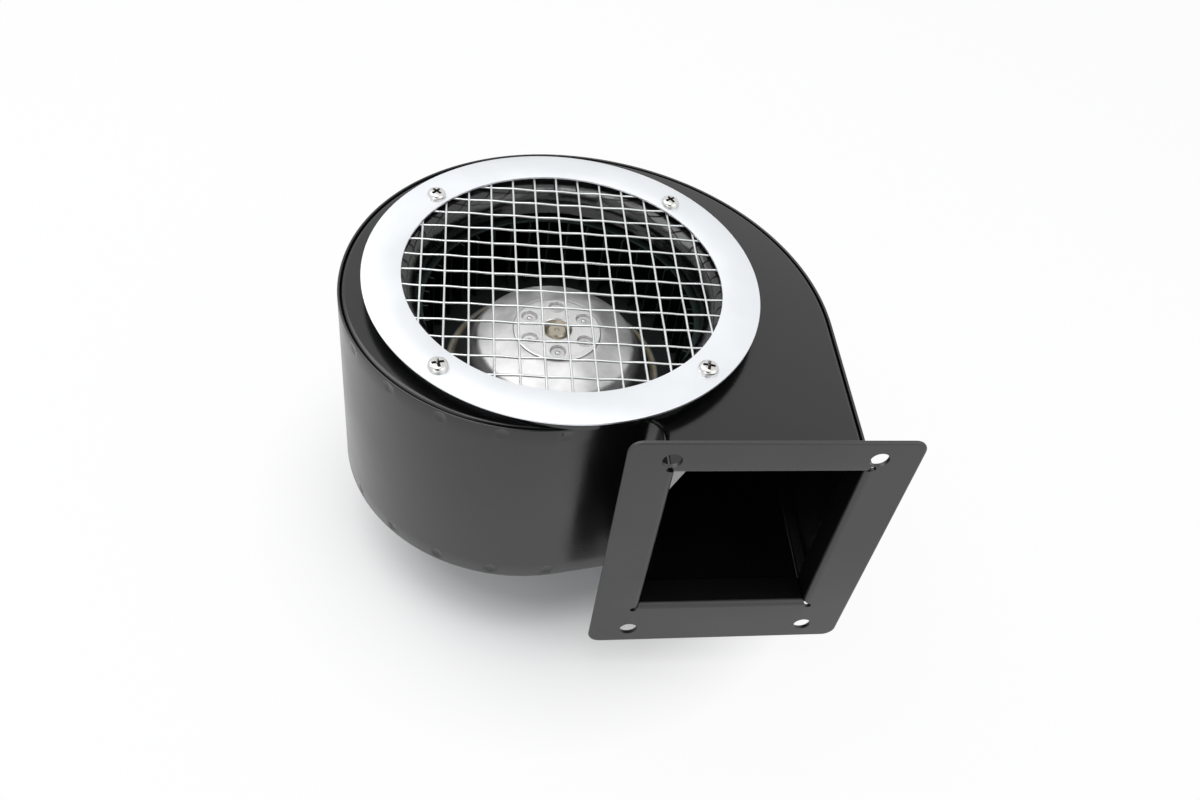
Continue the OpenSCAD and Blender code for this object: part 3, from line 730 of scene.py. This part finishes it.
def close_flat(pan, spiral, face, lip_end, hole):
    """Draws the rest of the flat's outline and its hole, and fills between them."""
    mode("OBJECT")
    level = TOUCH / 10
    ends = [v.co.copy() for v in pan.data.vertices if abs(v.co.z - face) < level and v.co.y < lip_end + MM]
    left = min(ends, key=lambda place: place.x)
    right = max(ends, key=lambda place: place.x)
    edge = sizes().sheet + 0.1 * MM
    near, end = sizes().duct_left + edge, spiral.end_y
    chain = [left, (near, lip_end, face), (near, end, face), (spiral.wall_x(edge, end), end, face),
             (spiral.wall_x(edge, lip_end), lip_end, face), right]
    outline = start("Outline")
    draw([tuple(point) for point in chain])
    bpy.ops.mesh.primitive_circle_add(vertices=128, radius=hole, location=(0, 0, face))
    mode("OBJECT")
    join(pan.name, pan, outline)
    mode("EDIT")
    weld()
    pick(pan, lambda place: abs(place.z - face) < level)
    bpy.ops.mesh.fill(use_beauty=True)


class BLOWER_OT_side_plates(Operator):
    """Make both side plates, each a flat with a rounded edge and a skirt"""

    bl_idname = "blower.side_plates"
    bl_label = "Side Plates"

    def execute(self, context):
        s = sizes()
        for node, side, hole in (("inlet_side_plate", -1, s.plate_hole), ("motor_side_plate", 1, s.motor_hole)):
            low, high = low_high(node)
            face = low.z if side > 0 else high.z
            plate = side_plate(node.capitalize(), face, side, high.z - low.z, hole)
            seat(plate, "housing", "black_plate", node)
        return {"FINISHED"}


# ---- outlet


RIM_INSET = 1.1 * MM
TAB_INSET = 2.4 * MM
TAB_BOX = ((0.4, 8), (2.2, 3.5), (-18, -2))  # millimetres from the opening's upper left corner


def flange_loop(name, face, radius, sweep, steps, corners):
    """A closed line in the flange's face, with an arc round each corner."""
    arcs = (arc((x, z), radius, turn, turn + sweep, steps) for x, z, turn in corners)
    line = draw_loop(name, [(x, face, z) for points in arcs for x, z in points])
    mode("OBJECT")
    return line


def flange_flat(low, high):
    """The flange's flat, inside its rim, with its opening and bolt holes."""
    face, r, inset, notch = low.y, sizes().flange_corner, RIM_INSET, 1.2 * MM
    left, right, bottom, top = fold_lines()
    corners = ((high.x - r, high.z - r, 0), (low.x + r, high.z - r, 90),
               (low.x + r, low.z + r, 180), (high.x - r, low.z + r, 270))
    outline = flange_loop("Outlet_flange", face, r - inset, 90, 8, corners)
    corners = ((right, top, 180), (right, bottom, 90), (left, bottom, 0), (left, top, 270))
    opening = flange_loop("Opening", face, notch, -270, 14, corners)
    release()
    flat = join("Outlet_flange", outline, opening, *bolt_holes(face))
    mode("EDIT")
    select(True)
    bpy.ops.mesh.fill(use_beauty=True)
    select(True)
    bpy.ops.mesh.normals_make_consistent(inside=False)
    return flat


def bolt_holes(face):
    """Circles for the record's bolt pattern."""
    pattern = next(mount for mount in frame["record"]["mounts"] if mount["name"] == "outlet_bolts")
    centre, dims = Vector(pattern["pos_m"]), pattern["dims"]
    holes = []
    for sx in (-0.5, 0.5):
        for sz in (-0.5, 0.5):
            place = centre + Vector((sx * dims["spacing_x_mm"], 0, sz * dims["spacing_y_mm"])) * MM
            place.y = face
            bpy.ops.mesh.primitive_circle_add(
                vertices=48, radius=dims["hole_r_mm"] * MM, location=place, rotation=(math.pi / 2, 0, 0)
            )
            bpy.ops.object.transform_apply(location=True, rotation=True, scale=True)
            holes.append(bpy.context.object)
    return holes


def bend_lips(flange, face, back):
    """Bends the four lips back into the opening, with mitred corners."""
    left, right, bottom, top = fold_lines()
    steps, mitre, bend = 8, 1.5 * MM, sizes().lip_bend
    middle = ((left + right) / 2, 0, (bottom + top) / 2)
    for across, fold, turn in ((0, left, -1), (0, right, 1), (2, bottom, 1), (2, top, -1)):
        along = 2 - across
        first, last = (left, right) if across else (bottom, top)
        centre, axis, taper = [0, face + bend, 0], [0, 0, 0], [1, 1, 1]
        centre[across], axis[along] = fold, turn
        taper[along] = 1 - mitre / ((last - first) / 2) / steps

        def on_fold(place):
            off = max(abs(place.y - face), abs(place[across] - fold))
            return off < TOUCH and first < place[along] < last

        pick(flange, on_fold)
        for step in range(steps):
            bpy.ops.mesh.spin(steps=1, angle=math.radians(90 / steps), center=centre, axis=axis)
            bpy.ops.transform.resize(value=taper, center_override=middle)
        push(0, back - face - bend)


def corner_tab(left, face, top):
    """Small tab across the opening's upper left corner, coloured light as painted light where the lit wheel
    shows through.
    """
    x, y, z = left + 0.6 * MM, face + TAB_INSET, top - TAB_INSET
    start("Corner_tab")
    draw([(x, y, z), (x + 6.4 * MM, y, z), (x, y, z - 15.5 * MM)], fill=True)
    thicken(0, 0.8 * MM, 0)
    return done(sharp=0)


def flange_rim(low, high):
    """Rounded cut edge, swept round the flange's outline."""
    r, sheet, soft, back = sizes().flange_corner, sizes().flange_sheet, 0.9 * MM, 0.5 * MM
    face, inner = low.y, high.z - RIM_INSET
    section = [(face, inner)] + arc((face + soft, high.z - soft), soft, 180, 90, 6)
    section += arc((face + sheet - back, high.z - back), back, 90, 0, 4) + [(face + sheet, inner)]
    draw_loop("Rim", [(low.x + r, y, z) for y, z in section])
    left, right, bottom, top = low.x + r, high.x - r, low.z + r, high.z - r
    runs = ((right - left, 0), (0, bottom - top), (left - right, 0), (0, top - bottom))
    for (dx, dz), (x, z) in zip(runs, ((right, top), (right, bottom), (left, bottom), (left, top))):
        push(dx, 0, dz)
        bpy.ops.mesh.spin(steps=8, angle=-math.radians(90), center=(x, 0, z), axis=(0, 1, 0))
    return done(sharp=50)


def fold_lines():
    """Places where the lips leave the flange's flat."""
    s = sizes()
    spiral = Spiral()
    inset = s.sheet + s.flange_sheet + 0.05 * MM - s.lip_bend
    outer = spiral.wall_x(0, spiral.end_y)
    return s.duct_left + inset, outer - inset, spiral.low + inset, spiral.high - inset


class BLOWER_OT_flange(Operator):
    """Make the outlet flange with its bent lips, relief notches and corner tab"""

    bl_idname = "blower.flange"
    bl_label = "Outlet Flange"

    def execute(self, context):
        s = sizes()
        low, high = low_high("outlet_flange")
        face = low.y
        left, right, bottom, top = fold_lines()
        flange = flange_flat(low, high)
        bend_lips(flange, face, high.y)
        done()
        solidify(flange, (0, -1, 0), s.flange_sheet, 30, use_even_offset=True)
        flange = join("Outlet_flange", flange, flange_rim(low, high), corner_tab(left, face, top))
        seat(flange, "housing", "black_flange", "outlet_flange")
        # Painted shade: faces of the lips inside the opening take the darker duct copy of the paint.
        flange.data.materials.append(FINISHES["duct_paint"])
        # Painted light: the corner tab gets the light corner finish.
        flange.data.materials.append(FINISHES["bare_tab"])
        corner = Vector((left, face, top))
        for side in flange.data.polygons:
            x, y, z = side.center
            if left < x < right and bottom < z < top and y > face + s.lip_bend - 0.1 * MM:
                side.material_index = 1
            # Painted light: faces of the corner tab take the light corner finish.
            place = (side.center - corner) / MM
            if all(start < along < end for along, (start, end) in zip(place, TAB_BOX)):
                side.material_index = 2
        return {"FINISHED"}


# ---- inlet and guard


class BLOWER_OT_collar(Operator):
    """Make the rolled inlet collar"""

    bl_idname = "blower.collar"
    bl_label = "Inlet Collar"

    def execute(self, context):
        s = sizes()
        low, high = low_high("inlet_collar")
        plate = low_high("inlet_side_plate")[1].z
        sheet, outer, bend, throat = s.sheet, high.x, 1.6 * MM, s.throat / 2
        mouth, edge = (throat + s.mouth, high.z - s.mouth), (outer - bend, high.z - bend)
        path = [(throat, low.z)] + arc(mouth, s.mouth, 180, 90, 16)
        path += arc(edge, bend, 90, 0, 6) + [(outer, plate)]
        under = [(outer - sheet, plate)] + arc(edge, bend - sheet, 0, 90, 6)
        under += arc(mouth, s.mouth - sheet, 90, 180, 16) + [(throat + sheet, low.z)]
        collar = lathe("Inlet_collar", path + under, steps=160)
        seat(collar, "housing", "black_gloss", "inlet_collar")
        return {"FINISHED"}


def screw_places():
    """Places of the four guard screws, across the wheel's axis."""
    half, shift = sizes().screw_pitch / 2, sizes().screw_shift
    return [Vector((sx * half, sy * half - shift, 0)) for sx in (-1, 1) for sy in (-1, 1)]


def guard_ring(low, high):
    """Flat plated ring with broken edges and screw holes."""
    inner, outer, edge = sizes().ring_bore / 2, high.x, 0.2 * MM
    soft = 0.3 * edge
    outline = [(inner + edge, low.z), (outer - edge, low.z), (outer, low.z + edge), (outer, high.z - edge),
               (outer - soft, high.z - soft), (outer - edge, high.z), (inner + edge, high.z),
               (inner + soft, high.z - soft), (inner, high.z - edge), (inner, low.z + edge)]
    ring = lathe("Guard_ring", outline, steps=192)
    release()
    hole, level = 2.05 * MM, Vector((0, 0, low.z))
    bpy.ops.mesh.primitive_cylinder_add(vertices=32, radius=hole, depth=6 * MM, location=(0, 0, 0))
    carve(ring, copies(bpy.context.object, [Matrix.Translation(p + level) for p in screw_places()]))
    seat(ring, "housing", "zinc_plate", "guard_ring")


def guard_mesh(top):
    """Two woven layers of wavy wire: sideways wires, then upright ones."""
    s = sizes()
    reach = s.ring_bore / 2 + 2.5 * MM
    lift = s.wire * 0.18
    turns = (-2.6, 88.5)  # degrees from the X axis
    pitch, shift = (s.wire_rows, s.wire_pitch), (s.mesh_shift, 0)
    along = [Vector((math.cos(math.radians(t)), math.sin(math.radians(t)), 0)) for t in turns]
    across = [Vector((-way.y, way.x, 0)) for way in along]
    count = int(reach / s.wire_pitch - 0.2)
    wires = []
    for layer, other in ((0, 1), (1, 0)):
        rate = along[layer].dot(across[other]) / pitch[other]
        lean = across[layer].dot(across[other])
        half_wave = abs(1 / rate)
        wire = wavy_wire(f"Wire_{layer}", half_wave, lift, reach)
        for i in range(-count, count + 1):
            offset = i * pitch[layer] + shift[layer]
            crossing = (offset * lean - shift[other]) / pitch[other]
            slip = -(i + crossing) / rate + (half_wave if layer else 0)
            place = along[layer] * (slip % (2 * half_wave)) + across[layer] * offset
            place.z = top - lift - s.wire / 2
            copy = duplicate(wire, turn_about_axis(turns[layer], place))
            trim_wire(copy, across[layer] * offset, along[layer], math.sqrt(reach**2 - offset**2))
            wires.append(copy)
        bpy.data.objects.remove(wire)
    mesh = join("Guard_mesh", *wires)
    smooth(50)
    seat(mesh, "housing", "galvanised_wire", "guard_mesh")


def trim_wire(wire, middle, along, half):
    """Cuts a long wire off square at both ends."""
    release()
    bpy.context.view_layer.objects.active = wire
    mode("EDIT")
    for end in (along, -along):
        select(True)
        bpy.ops.mesh.bisect(plane_co=middle + end * half, plane_no=end, use_fill=True, clear_outer=True)
    mode("OBJECT")


def wavy_wire(name, half_wave, lift, reach):
    """One long wavy wire on the X axis."""
    steps, period = 12, 2 * half_wave
    wire = start(name)
    draw([(period * k / steps, 0, lift * math.cos(FULL_TURN * k / steps)) for k in range(steps + 1)])
    mode("OBJECT")
    waves = int(reach / half_wave) + 3
    apply(wire, "ARRAY", count=waves, use_relative_offset=False, use_constant_offset=True,
          constant_offset_displace=(period, 0, 0), use_merge_vertices=True, merge_threshold=TOUCH)
    wire.data.transform(Matrix.Translation((-period * ((waves + 1) // 2), 0, 0)))
    bpy.ops.object.convert(target="CURVE")
    curve = bpy.context.object.data
    curve.bevel_depth = sizes().wire / 2
    curve.bevel_resolution = 2
    curve.use_fill_caps = True
    bpy.ops.object.convert(target="MESH")
    return bpy.context.object


def guard_screws(seat_z):
    """Pan heads with a cross recess, each turned its own way."""
    low, high = low_high("guard_screws")
    rise = (high.z - seat_z) / MM
    outline = profile(high.z, (0, 0), (1.6, -0.02), (2.5, -0.2), (3.2, -0.65))
    outline += profile(seat_z, (3.6, rise * 0.48), (3.75, rise * 0.22), (3.65, 0.02), (1.9, 0))
    outline += profile(low.z, (1.9, 0.4), (1.5, 0), (0, 0))
    screw = lathe("Guard_screws", outline, steps=48, closed=False)
    a, b = 0.62 * MM, 2.55 * MM  # half the width and half the length of the cross's arms
    quarter = ((b, -a), (b, a), (a, a))
    cross = [*quarter, *((-y, x) for x, y in quarter), *((-x, -y) for x, y in quarter),
             *((y, -x) for x, y in quarter)]
    cutter = start("Cross")
    draw([(x, y, high.z + 0.3 * MM) for x, y in cross], fill=True)
    thicken(0, 0, -1.9 * MM)
    tip = 0.45  # share of the cross's size that its deep end keeps
    bpy.ops.transform.resize(value=(tip, tip, 1), center_override=(0, 0, high.z))
    done(sharp=0)
    carve(screw, cutter)
    smooth(40)
    turns = (12, 47, 78, 30)
    screws = copies(screw, [turn_about_axis(t, p) for p, t in zip(screw_places(), turns)])
    seat(screws, "housing", "nickel_screw", "guard_screws")
    # Painted shade: the deep faces of each cross recess take the dark recess finish.
    screws.data.materials.append(FINISHES["screw_recess"])
    for face in screws.data.polygons:
        away = min((face.center.xy - place.xy).length for place in screw_places())
        drop = (high.z - face.center.z) / MM
        deep = drop > 0.9 or (drop > 0.12 and face.normal.z < 0.5)
        if deep and away < b + 0.05 * MM and seat_z < face.center.z:
            face.material_index = 1


class BLOWER_OT_guard(Operator):
    """Make the guard ring, the woven mesh and the cross-recess screws"""

    bl_idname = "blower.guard"
    bl_label = "Inlet Guard"

    def execute(self, context):
        low, high = low_high("guard_ring")
        guard_ring(low, high)
        guard_mesh(low_high("guard_mesh")[1].z)
        guard_screws(high.z)
        return {"FINISHED"}


# ---- wheel


def wheel_blades():
    """Thin curved blades."""
    s = sizes()
    low, high = low_high("wheel_blades")
    bore, curve, half = s.blade_bore / 2, s.blade_curve, s.blade_sheet / 2
    rim = max(high.x, -low.x)
    centre = (bore + 0.3 * MM, -curve + 0.4 * MM)
    outer, inner = (blade_arc(centre, radius, bore, rim) for radius in (curve + half, curve - half))
    blade = start("Wheel_blades")
    draw([(x, y, low.z) for x, y in outer + inner[::-1]], fill=True)
    thicken(0, 0, high.z - low.z)
    done()
    turns = [turn_about_axis(360 * i / s.blade_count) for i in range(s.blade_count)]
    # The blades' near-black finish is painted shade inside the housing.
    seat(copies(blade, turns), "rotor", "blade_steel", "wheel_blades")


def blade_arc(centre, radius, bore, rim):
    """About ten points on the part of a blade's arc between the bore and the rim."""
    kept = [p for p in arc(centre, radius, 92, 0, 400) if bore <= math.hypot(*p) <= rim]
    return kept[:: max(1, len(kept) // 10)] + [kept[-1]]


def end_ring(node, up):
    """Ring over the blades' ends with a rolled band outside them."""
    low, high = low_high(node)
    wheel_low, wheel_high = low_high("wheel_blades")
    side = 1 if up else -1
    face, flat, end = (high.z, wheel_high.z, low.z) if up else (low.z, wheel_low.z, high.z)
    inner, outer = sizes().blade_bore / 2 + 2 * MM, high.x
    bend, band, edge = 0.7 * MM, 0.75 * MM, 0.1 * MM
    outline = [(inner, flat), (inner, face - side * edge), (inner + edge, face)]
    outline += [(outer - bend + bend * math.sin(t), face - side * (bend - bend * math.cos(t)))
                for t in (0, 0.4, 0.8, 1.2, 1.57)]
    outline += [(outer, end), (outer - band, end), (outer - band, flat)]
    # The end rings' near-black finish is painted shade inside the housing.
    seat(lathe(node.capitalize(), outline, steps=160), "rotor", "blade_steel", node)


def wheel_disc():
    """Spun disc dished over the motor, with a rounded shoulder and foot."""
    low, high = low_high("wheel_disc")
    top, flat = high.z, low.z + sizes().sheet
    corners = profile(top, (5.8, 0), (18.6, 0), (31.4, -4.2)) + profile(flat, (41.2, 0)) + [(high.x, flat)]
    path = rounded(corners, [9 * MM, 3.4 * MM, 2.2 * MM], steps=8)
    disc = start("Wheel_disc")
    draw([(r, 0, z) for r, z in path])
    swing((0, 0), 360, 160)
    done()
    solidify(disc, (0, 0, 1), 0.9 * MM, 40)
    seat(disc, "rotor", "spun_aluminium", "wheel_disc")


class BLOWER_OT_wheel(Operator):
    """Make the forward-curved blades, their end rings and the dished disc"""

    bl_idname = "blower.wheel"
    bl_label = "Wheel"

    def execute(self, context):
        wheel_blades()
        end_ring("wheel_front_ring", True)
        end_ring("wheel_rear_ring", False)
        wheel_disc()
        return {"FINISHED"}


def hub_plate(low, outer, top):
    """Round plate with a ring of dimples, each with a rivet in its floor."""
    s = sizes()
    edge, bore, break_edge = 0.6 * MM, 5.75 * MM, 0.3 * MM
    outline = [(bore, low.z), (outer, low.z)] + arc((outer - edge, top - edge), edge, 0, 90, 5)
    outline += [(bore + break_edge, top), (bore, top - break_edge)]
    plate = lathe("Hub_plate", outline)
    first = math.degrees(s.rivet_turn)
    out = Matrix.Translation((s.rivet_circle / 2, 0, 0))
    rivets = [turn_about_axis(first + 60 * i) @ out for i in range(6)]
    r, wall, floor = s.dimple / 2, 0.8 * MM, top - 1.0 * MM
    outline = [(0, top + MM), (r, top + MM), (r, top), (r - wall, floor), (0, floor)]
    carve(plate, copies(lathe("Dimple", outline, steps=40, closed=False), rivets))
    smooth(30)
    seat(plate, "rotor", "hub_steel", "hub_plate")
    outline = profile(floor, (0, 0.75), (0.5, 0.7), (0.95, 0.45), (1.2, 0), (1.2, -2), (0, -2))
    rivet = lathe("Hub_rivets", outline, steps=24, closed=False)
    seat(copies(rivet, rivets), "rotor", "rivet_aluminium", "hub_rivets")


def bush_and_shaft(top):
    """Bush that carries the plate, and the shaft in it with a centre mark."""
    low, high = low_high("hub_bush")
    shaft_low, shaft_high = low_high("motor_shaft")
    radius = max(shaft_high.x, -shaft_low.x)
    outline = [(radius, low.z), (high.x, low.z), (high.x, high.z - 2.4 * MM)]
    outline += profile(high.z, (5.7, -2.3)) + profile(top, (5.7, -0.25), (5.4, -0.05), (4.9, -0.4))
    outline += [(radius + 0.05 * MM, top - 0.9 * MM)]
    seat(lathe("Hub_bush", outline, steps=96), "rotor", "bush_steel", "hub_bush")
    low, high, chamfer = shaft_low.z, shaft_high.z, 0.7 * MM
    outline = [(0, low), (radius - chamfer, low), (radius, low + chamfer), (radius, high - chamfer),
               (radius - chamfer, high)] + profile(high, (1.0, 0), (0.6, -0.5), (0, -0.6))
    shaft = lathe("Motor_shaft", outline, steps=96, closed=False)
    seat(shaft, "rotor", "shaft_steel", "motor_shaft")


class BLOWER_OT_hub(Operator):
    """Make the hub plate with its dimpled rivets, the bush and the shaft"""

    bl_idname = "blower.hub"
    bl_label = "Hub"

    def execute(self, context):
        low, high = low_high("hub_plate")
        top = high.z - 0.6 * MM
        hub_plate(low, high.x, top)
        bush_and_shaft(top)
        return {"FINISHED"}


# ---- motor


class BLOWER_OT_motor(Operator):
    """Make the motor's can"""

    bl_idname = "blower.motor"
    bl_label = "Motor"

    def execute(self, context):
        low, high = low_high("motor_can")
        outer, wall, edge = max(high.x, -low.x), 1.6 * MM, 0.4 * MM
        outline = [(outer - edge, low.z), (outer, low.z + edge), (outer, high.z - edge), (outer - edge, high.z),
                   (outer - wall, high.z), (outer - wall, low.z)]
        seat(lathe("Motor_can", outline), "housing", "can_steel", "motor_can")
        return {"FINISHED"}


class BLOWER_OT_bare_nodes(Operator):
    """Give the pieces that keep their CAD shape the finish of their slot"""

    bl_idname = "blower.bare_nodes"
    bl_label = "Plain Pieces"

    def execute(self, context):
        slots = {part["node"]: part["material_slot"] for part in frame["record"]["subparts"]}
        for name, node in frame["nodes"].items():
            node.data.materials.clear()
            node.data.materials.append(FINISHES[slots[name]])
            for face in node.data.polygons:
                face.material_index = 0
        return {"FINISHED"}


# ---- stage


def stage_sheet(name, finish, **settings):
    """A square sheet that belongs to the stage."""
    release()
    bpy.ops.mesh.primitive_plane_add(**settings)
    sheet = bpy.context.object
    sheet.name = name
    sheet.data.materials.append(finish.material)
    return sheet


def pale_floor():
    """Wide pale floor under the motor's end, which fades to white away from the part."""
    finish = Finish("Floor", roughness=0.9, specular=0.1)
    finish.feed("Base Color", tones(finish, colours().floor, 0.99, 1.0, finish.noise(3.0)))
    distance = finish.node("VectorMath", {"operation": "LENGTH"}, {0: finish.place}, "Value")
    # Painted light: from 55 mm out the floor glows white to the camera and in reflections, which fades the
    # outer part of the part's shadow.
    away = finish.clamp(distance, 55 * MM, 128 * MM, 0.0, 0.9)
    white = finish.node("Emission", {}, {"Color": (1, 1, 1, 1), "Strength": 1.0})
    shaded = Value(finish, finish.shader.outputs["BSDF"])
    surface = finish.node("MixShader", {}, {0: away * finish.seen(), 1: shaded, 2: white})
    finish.tree.links.new(surface.socket, finish.tree.nodes["Material Output"].inputs["Surface"])
    stage_sheet("Floor", finish, size=6, location=(0, 0, -0.05 * MM))


def black_card():
    """Dark card behind the camera, which draws dark lines along the edges that face it."""
    finish = Finish("Card", base=(0, 0, 0, 1), roughness=1.0, specular=0.0)
    tilt = (math.radians(50), 0, 0)
    card = stage_sheet("Card", finish, size=0.46, location=(-0.12, -0.57, 0.58), rotation=tilt)
    card.visible_camera = card.visible_diffuse = card.visible_shadow = False


def white_world():
    """White background to the camera, softer light to everything else."""
    world = bpy.data.worlds.new("Studio")
    bpy.context.scene.world = world
    world.use_nodes = True
    world.node_tree.nodes.clear()
    sky = NodeTree(world.node_tree)
    tint = sky.blend((0.66, 0.67, 0.69), (1, 1, 1), sky.seen())
    back = sky.node("Background", {}, {"Color": tint, "Strength": 1.0})
    sky.node("OutputWorld", {}, {"Surface": back})


def softbox(name, place, size, power):
    """Square area light turned towards the part's middle."""
    low, high = CAD_BOX
    bpy.ops.object.light_add(type="AREA", location=place)
    light = bpy.context.object
    light.name = name
    light.data.size = size
    light.data.energy = power
    light.rotation_mode = "QUATERNION"
    aim = (Vector(low) + Vector(high)) / 2 - Vector(place)
    light.rotation_quaternion = aim.to_track_quat("-Z", "Y")


def set_camera():
    """Camera on the inlet side, above the outlet and rolled a little."""
    bpy.ops.object.camera_add()
    camera = bpy.context.object
    look = Vector((0.15815, 0.66718, -0.72792)).to_track_quat("-Z", "Y")
    roll = Quaternion((0, 0, 1), math.radians(10.14))
    turn = (look @ roll).to_matrix().to_4x4()
    camera.matrix_world = Matrix.Translation((-0.05242, -0.31485, 0.41056)) @ turn
    camera.data.sensor_width = 36
    camera.data.lens = 33.29
    camera.data.clip_start = 0.01
    bpy.context.scene.camera = camera
    bpy.context.scene.view_settings.view_transform = "Standard"


class BLOWER_OT_stage(Operator):
    """Make the floor, the lights and the camera"""

    bl_idname = "blower.stage"
    bl_label = "Stage"

    def execute(self, context):
        pale_floor()
        white_world()
        softbox("Key", (-0.45, 0.25, 0.85), 0.6, 2.6)
        softbox("Fill", (0.75, -0.55, 0.7), 0.8, 1.7)
        softbox("Front", (-0.5, -0.9, 0.45), 0.7, 1.7)
        softbox("Top", (-0.1, -0.15, 1.1), 0.4, 2.4)
        black_card()
        set_camera()
        return {"FINISHED"}


# ---- add-on

OPERATORS = (
    BLOWER_OT_bare_nodes, BLOWER_OT_wrapper, BLOWER_OT_side_plates, BLOWER_OT_flange, BLOWER_OT_collar,
    BLOWER_OT_guard, BLOWER_OT_wheel, BLOWER_OT_hub, BLOWER_OT_motor, BLOWER_OT_stage,
)


class BLOWER_PT_panel(Panel):
    """Buttons for each group of pieces"""

    bl_idname = "BLOWER_PT_panel"
    bl_label = "Centrifugal Blower"
    bl_space_type = "VIEW_3D"
    bl_region_type = "UI"
    bl_category = "Blower"

    def draw(self, context):
        column = self.layout.column()
        for operator in OPERATORS:
            column.operator(operator.bl_idname)
        for group in (context.scene.blower_sizes, context.scene.blower_colours):
            for name in group.bl_rna.properties.keys():
                if name not in ("rna_type", "name"):
                    column.prop(group, name)


CLASSES = (BlowerSizes, BlowerColours, *OPERATORS, BLOWER_PT_panel)


def register():
    for kind in CLASSES:
        bpy.utils.register_class(kind)
    bpy.types.Scene.blower_sizes = PointerProperty(type=BlowerSizes)
    bpy.types.Scene.blower_colours = PointerProperty(type=BlowerColours)


def unregister():
    del bpy.types.Scene.blower_colours
    del bpy.types.Scene.blower_sizes
    for kind in reversed(CLASSES):
        bpy.utils.unregister_class(kind)


def main():
    register()
    make_finishes()
    bpy.ops.blower.bare_nodes()
    bpy.ops.blower.wrapper()
    bpy.ops.blower.side_plates()
    bpy.ops.blower.flange()
    bpy.ops.blower.collar()
    bpy.ops.blower.guard()
    bpy.ops.blower.wheel()
    bpy.ops.blower.hub()
    bpy.ops.blower.motor()
    bpy.ops.blower.stage()


if __name__ == "__main__":
    main()
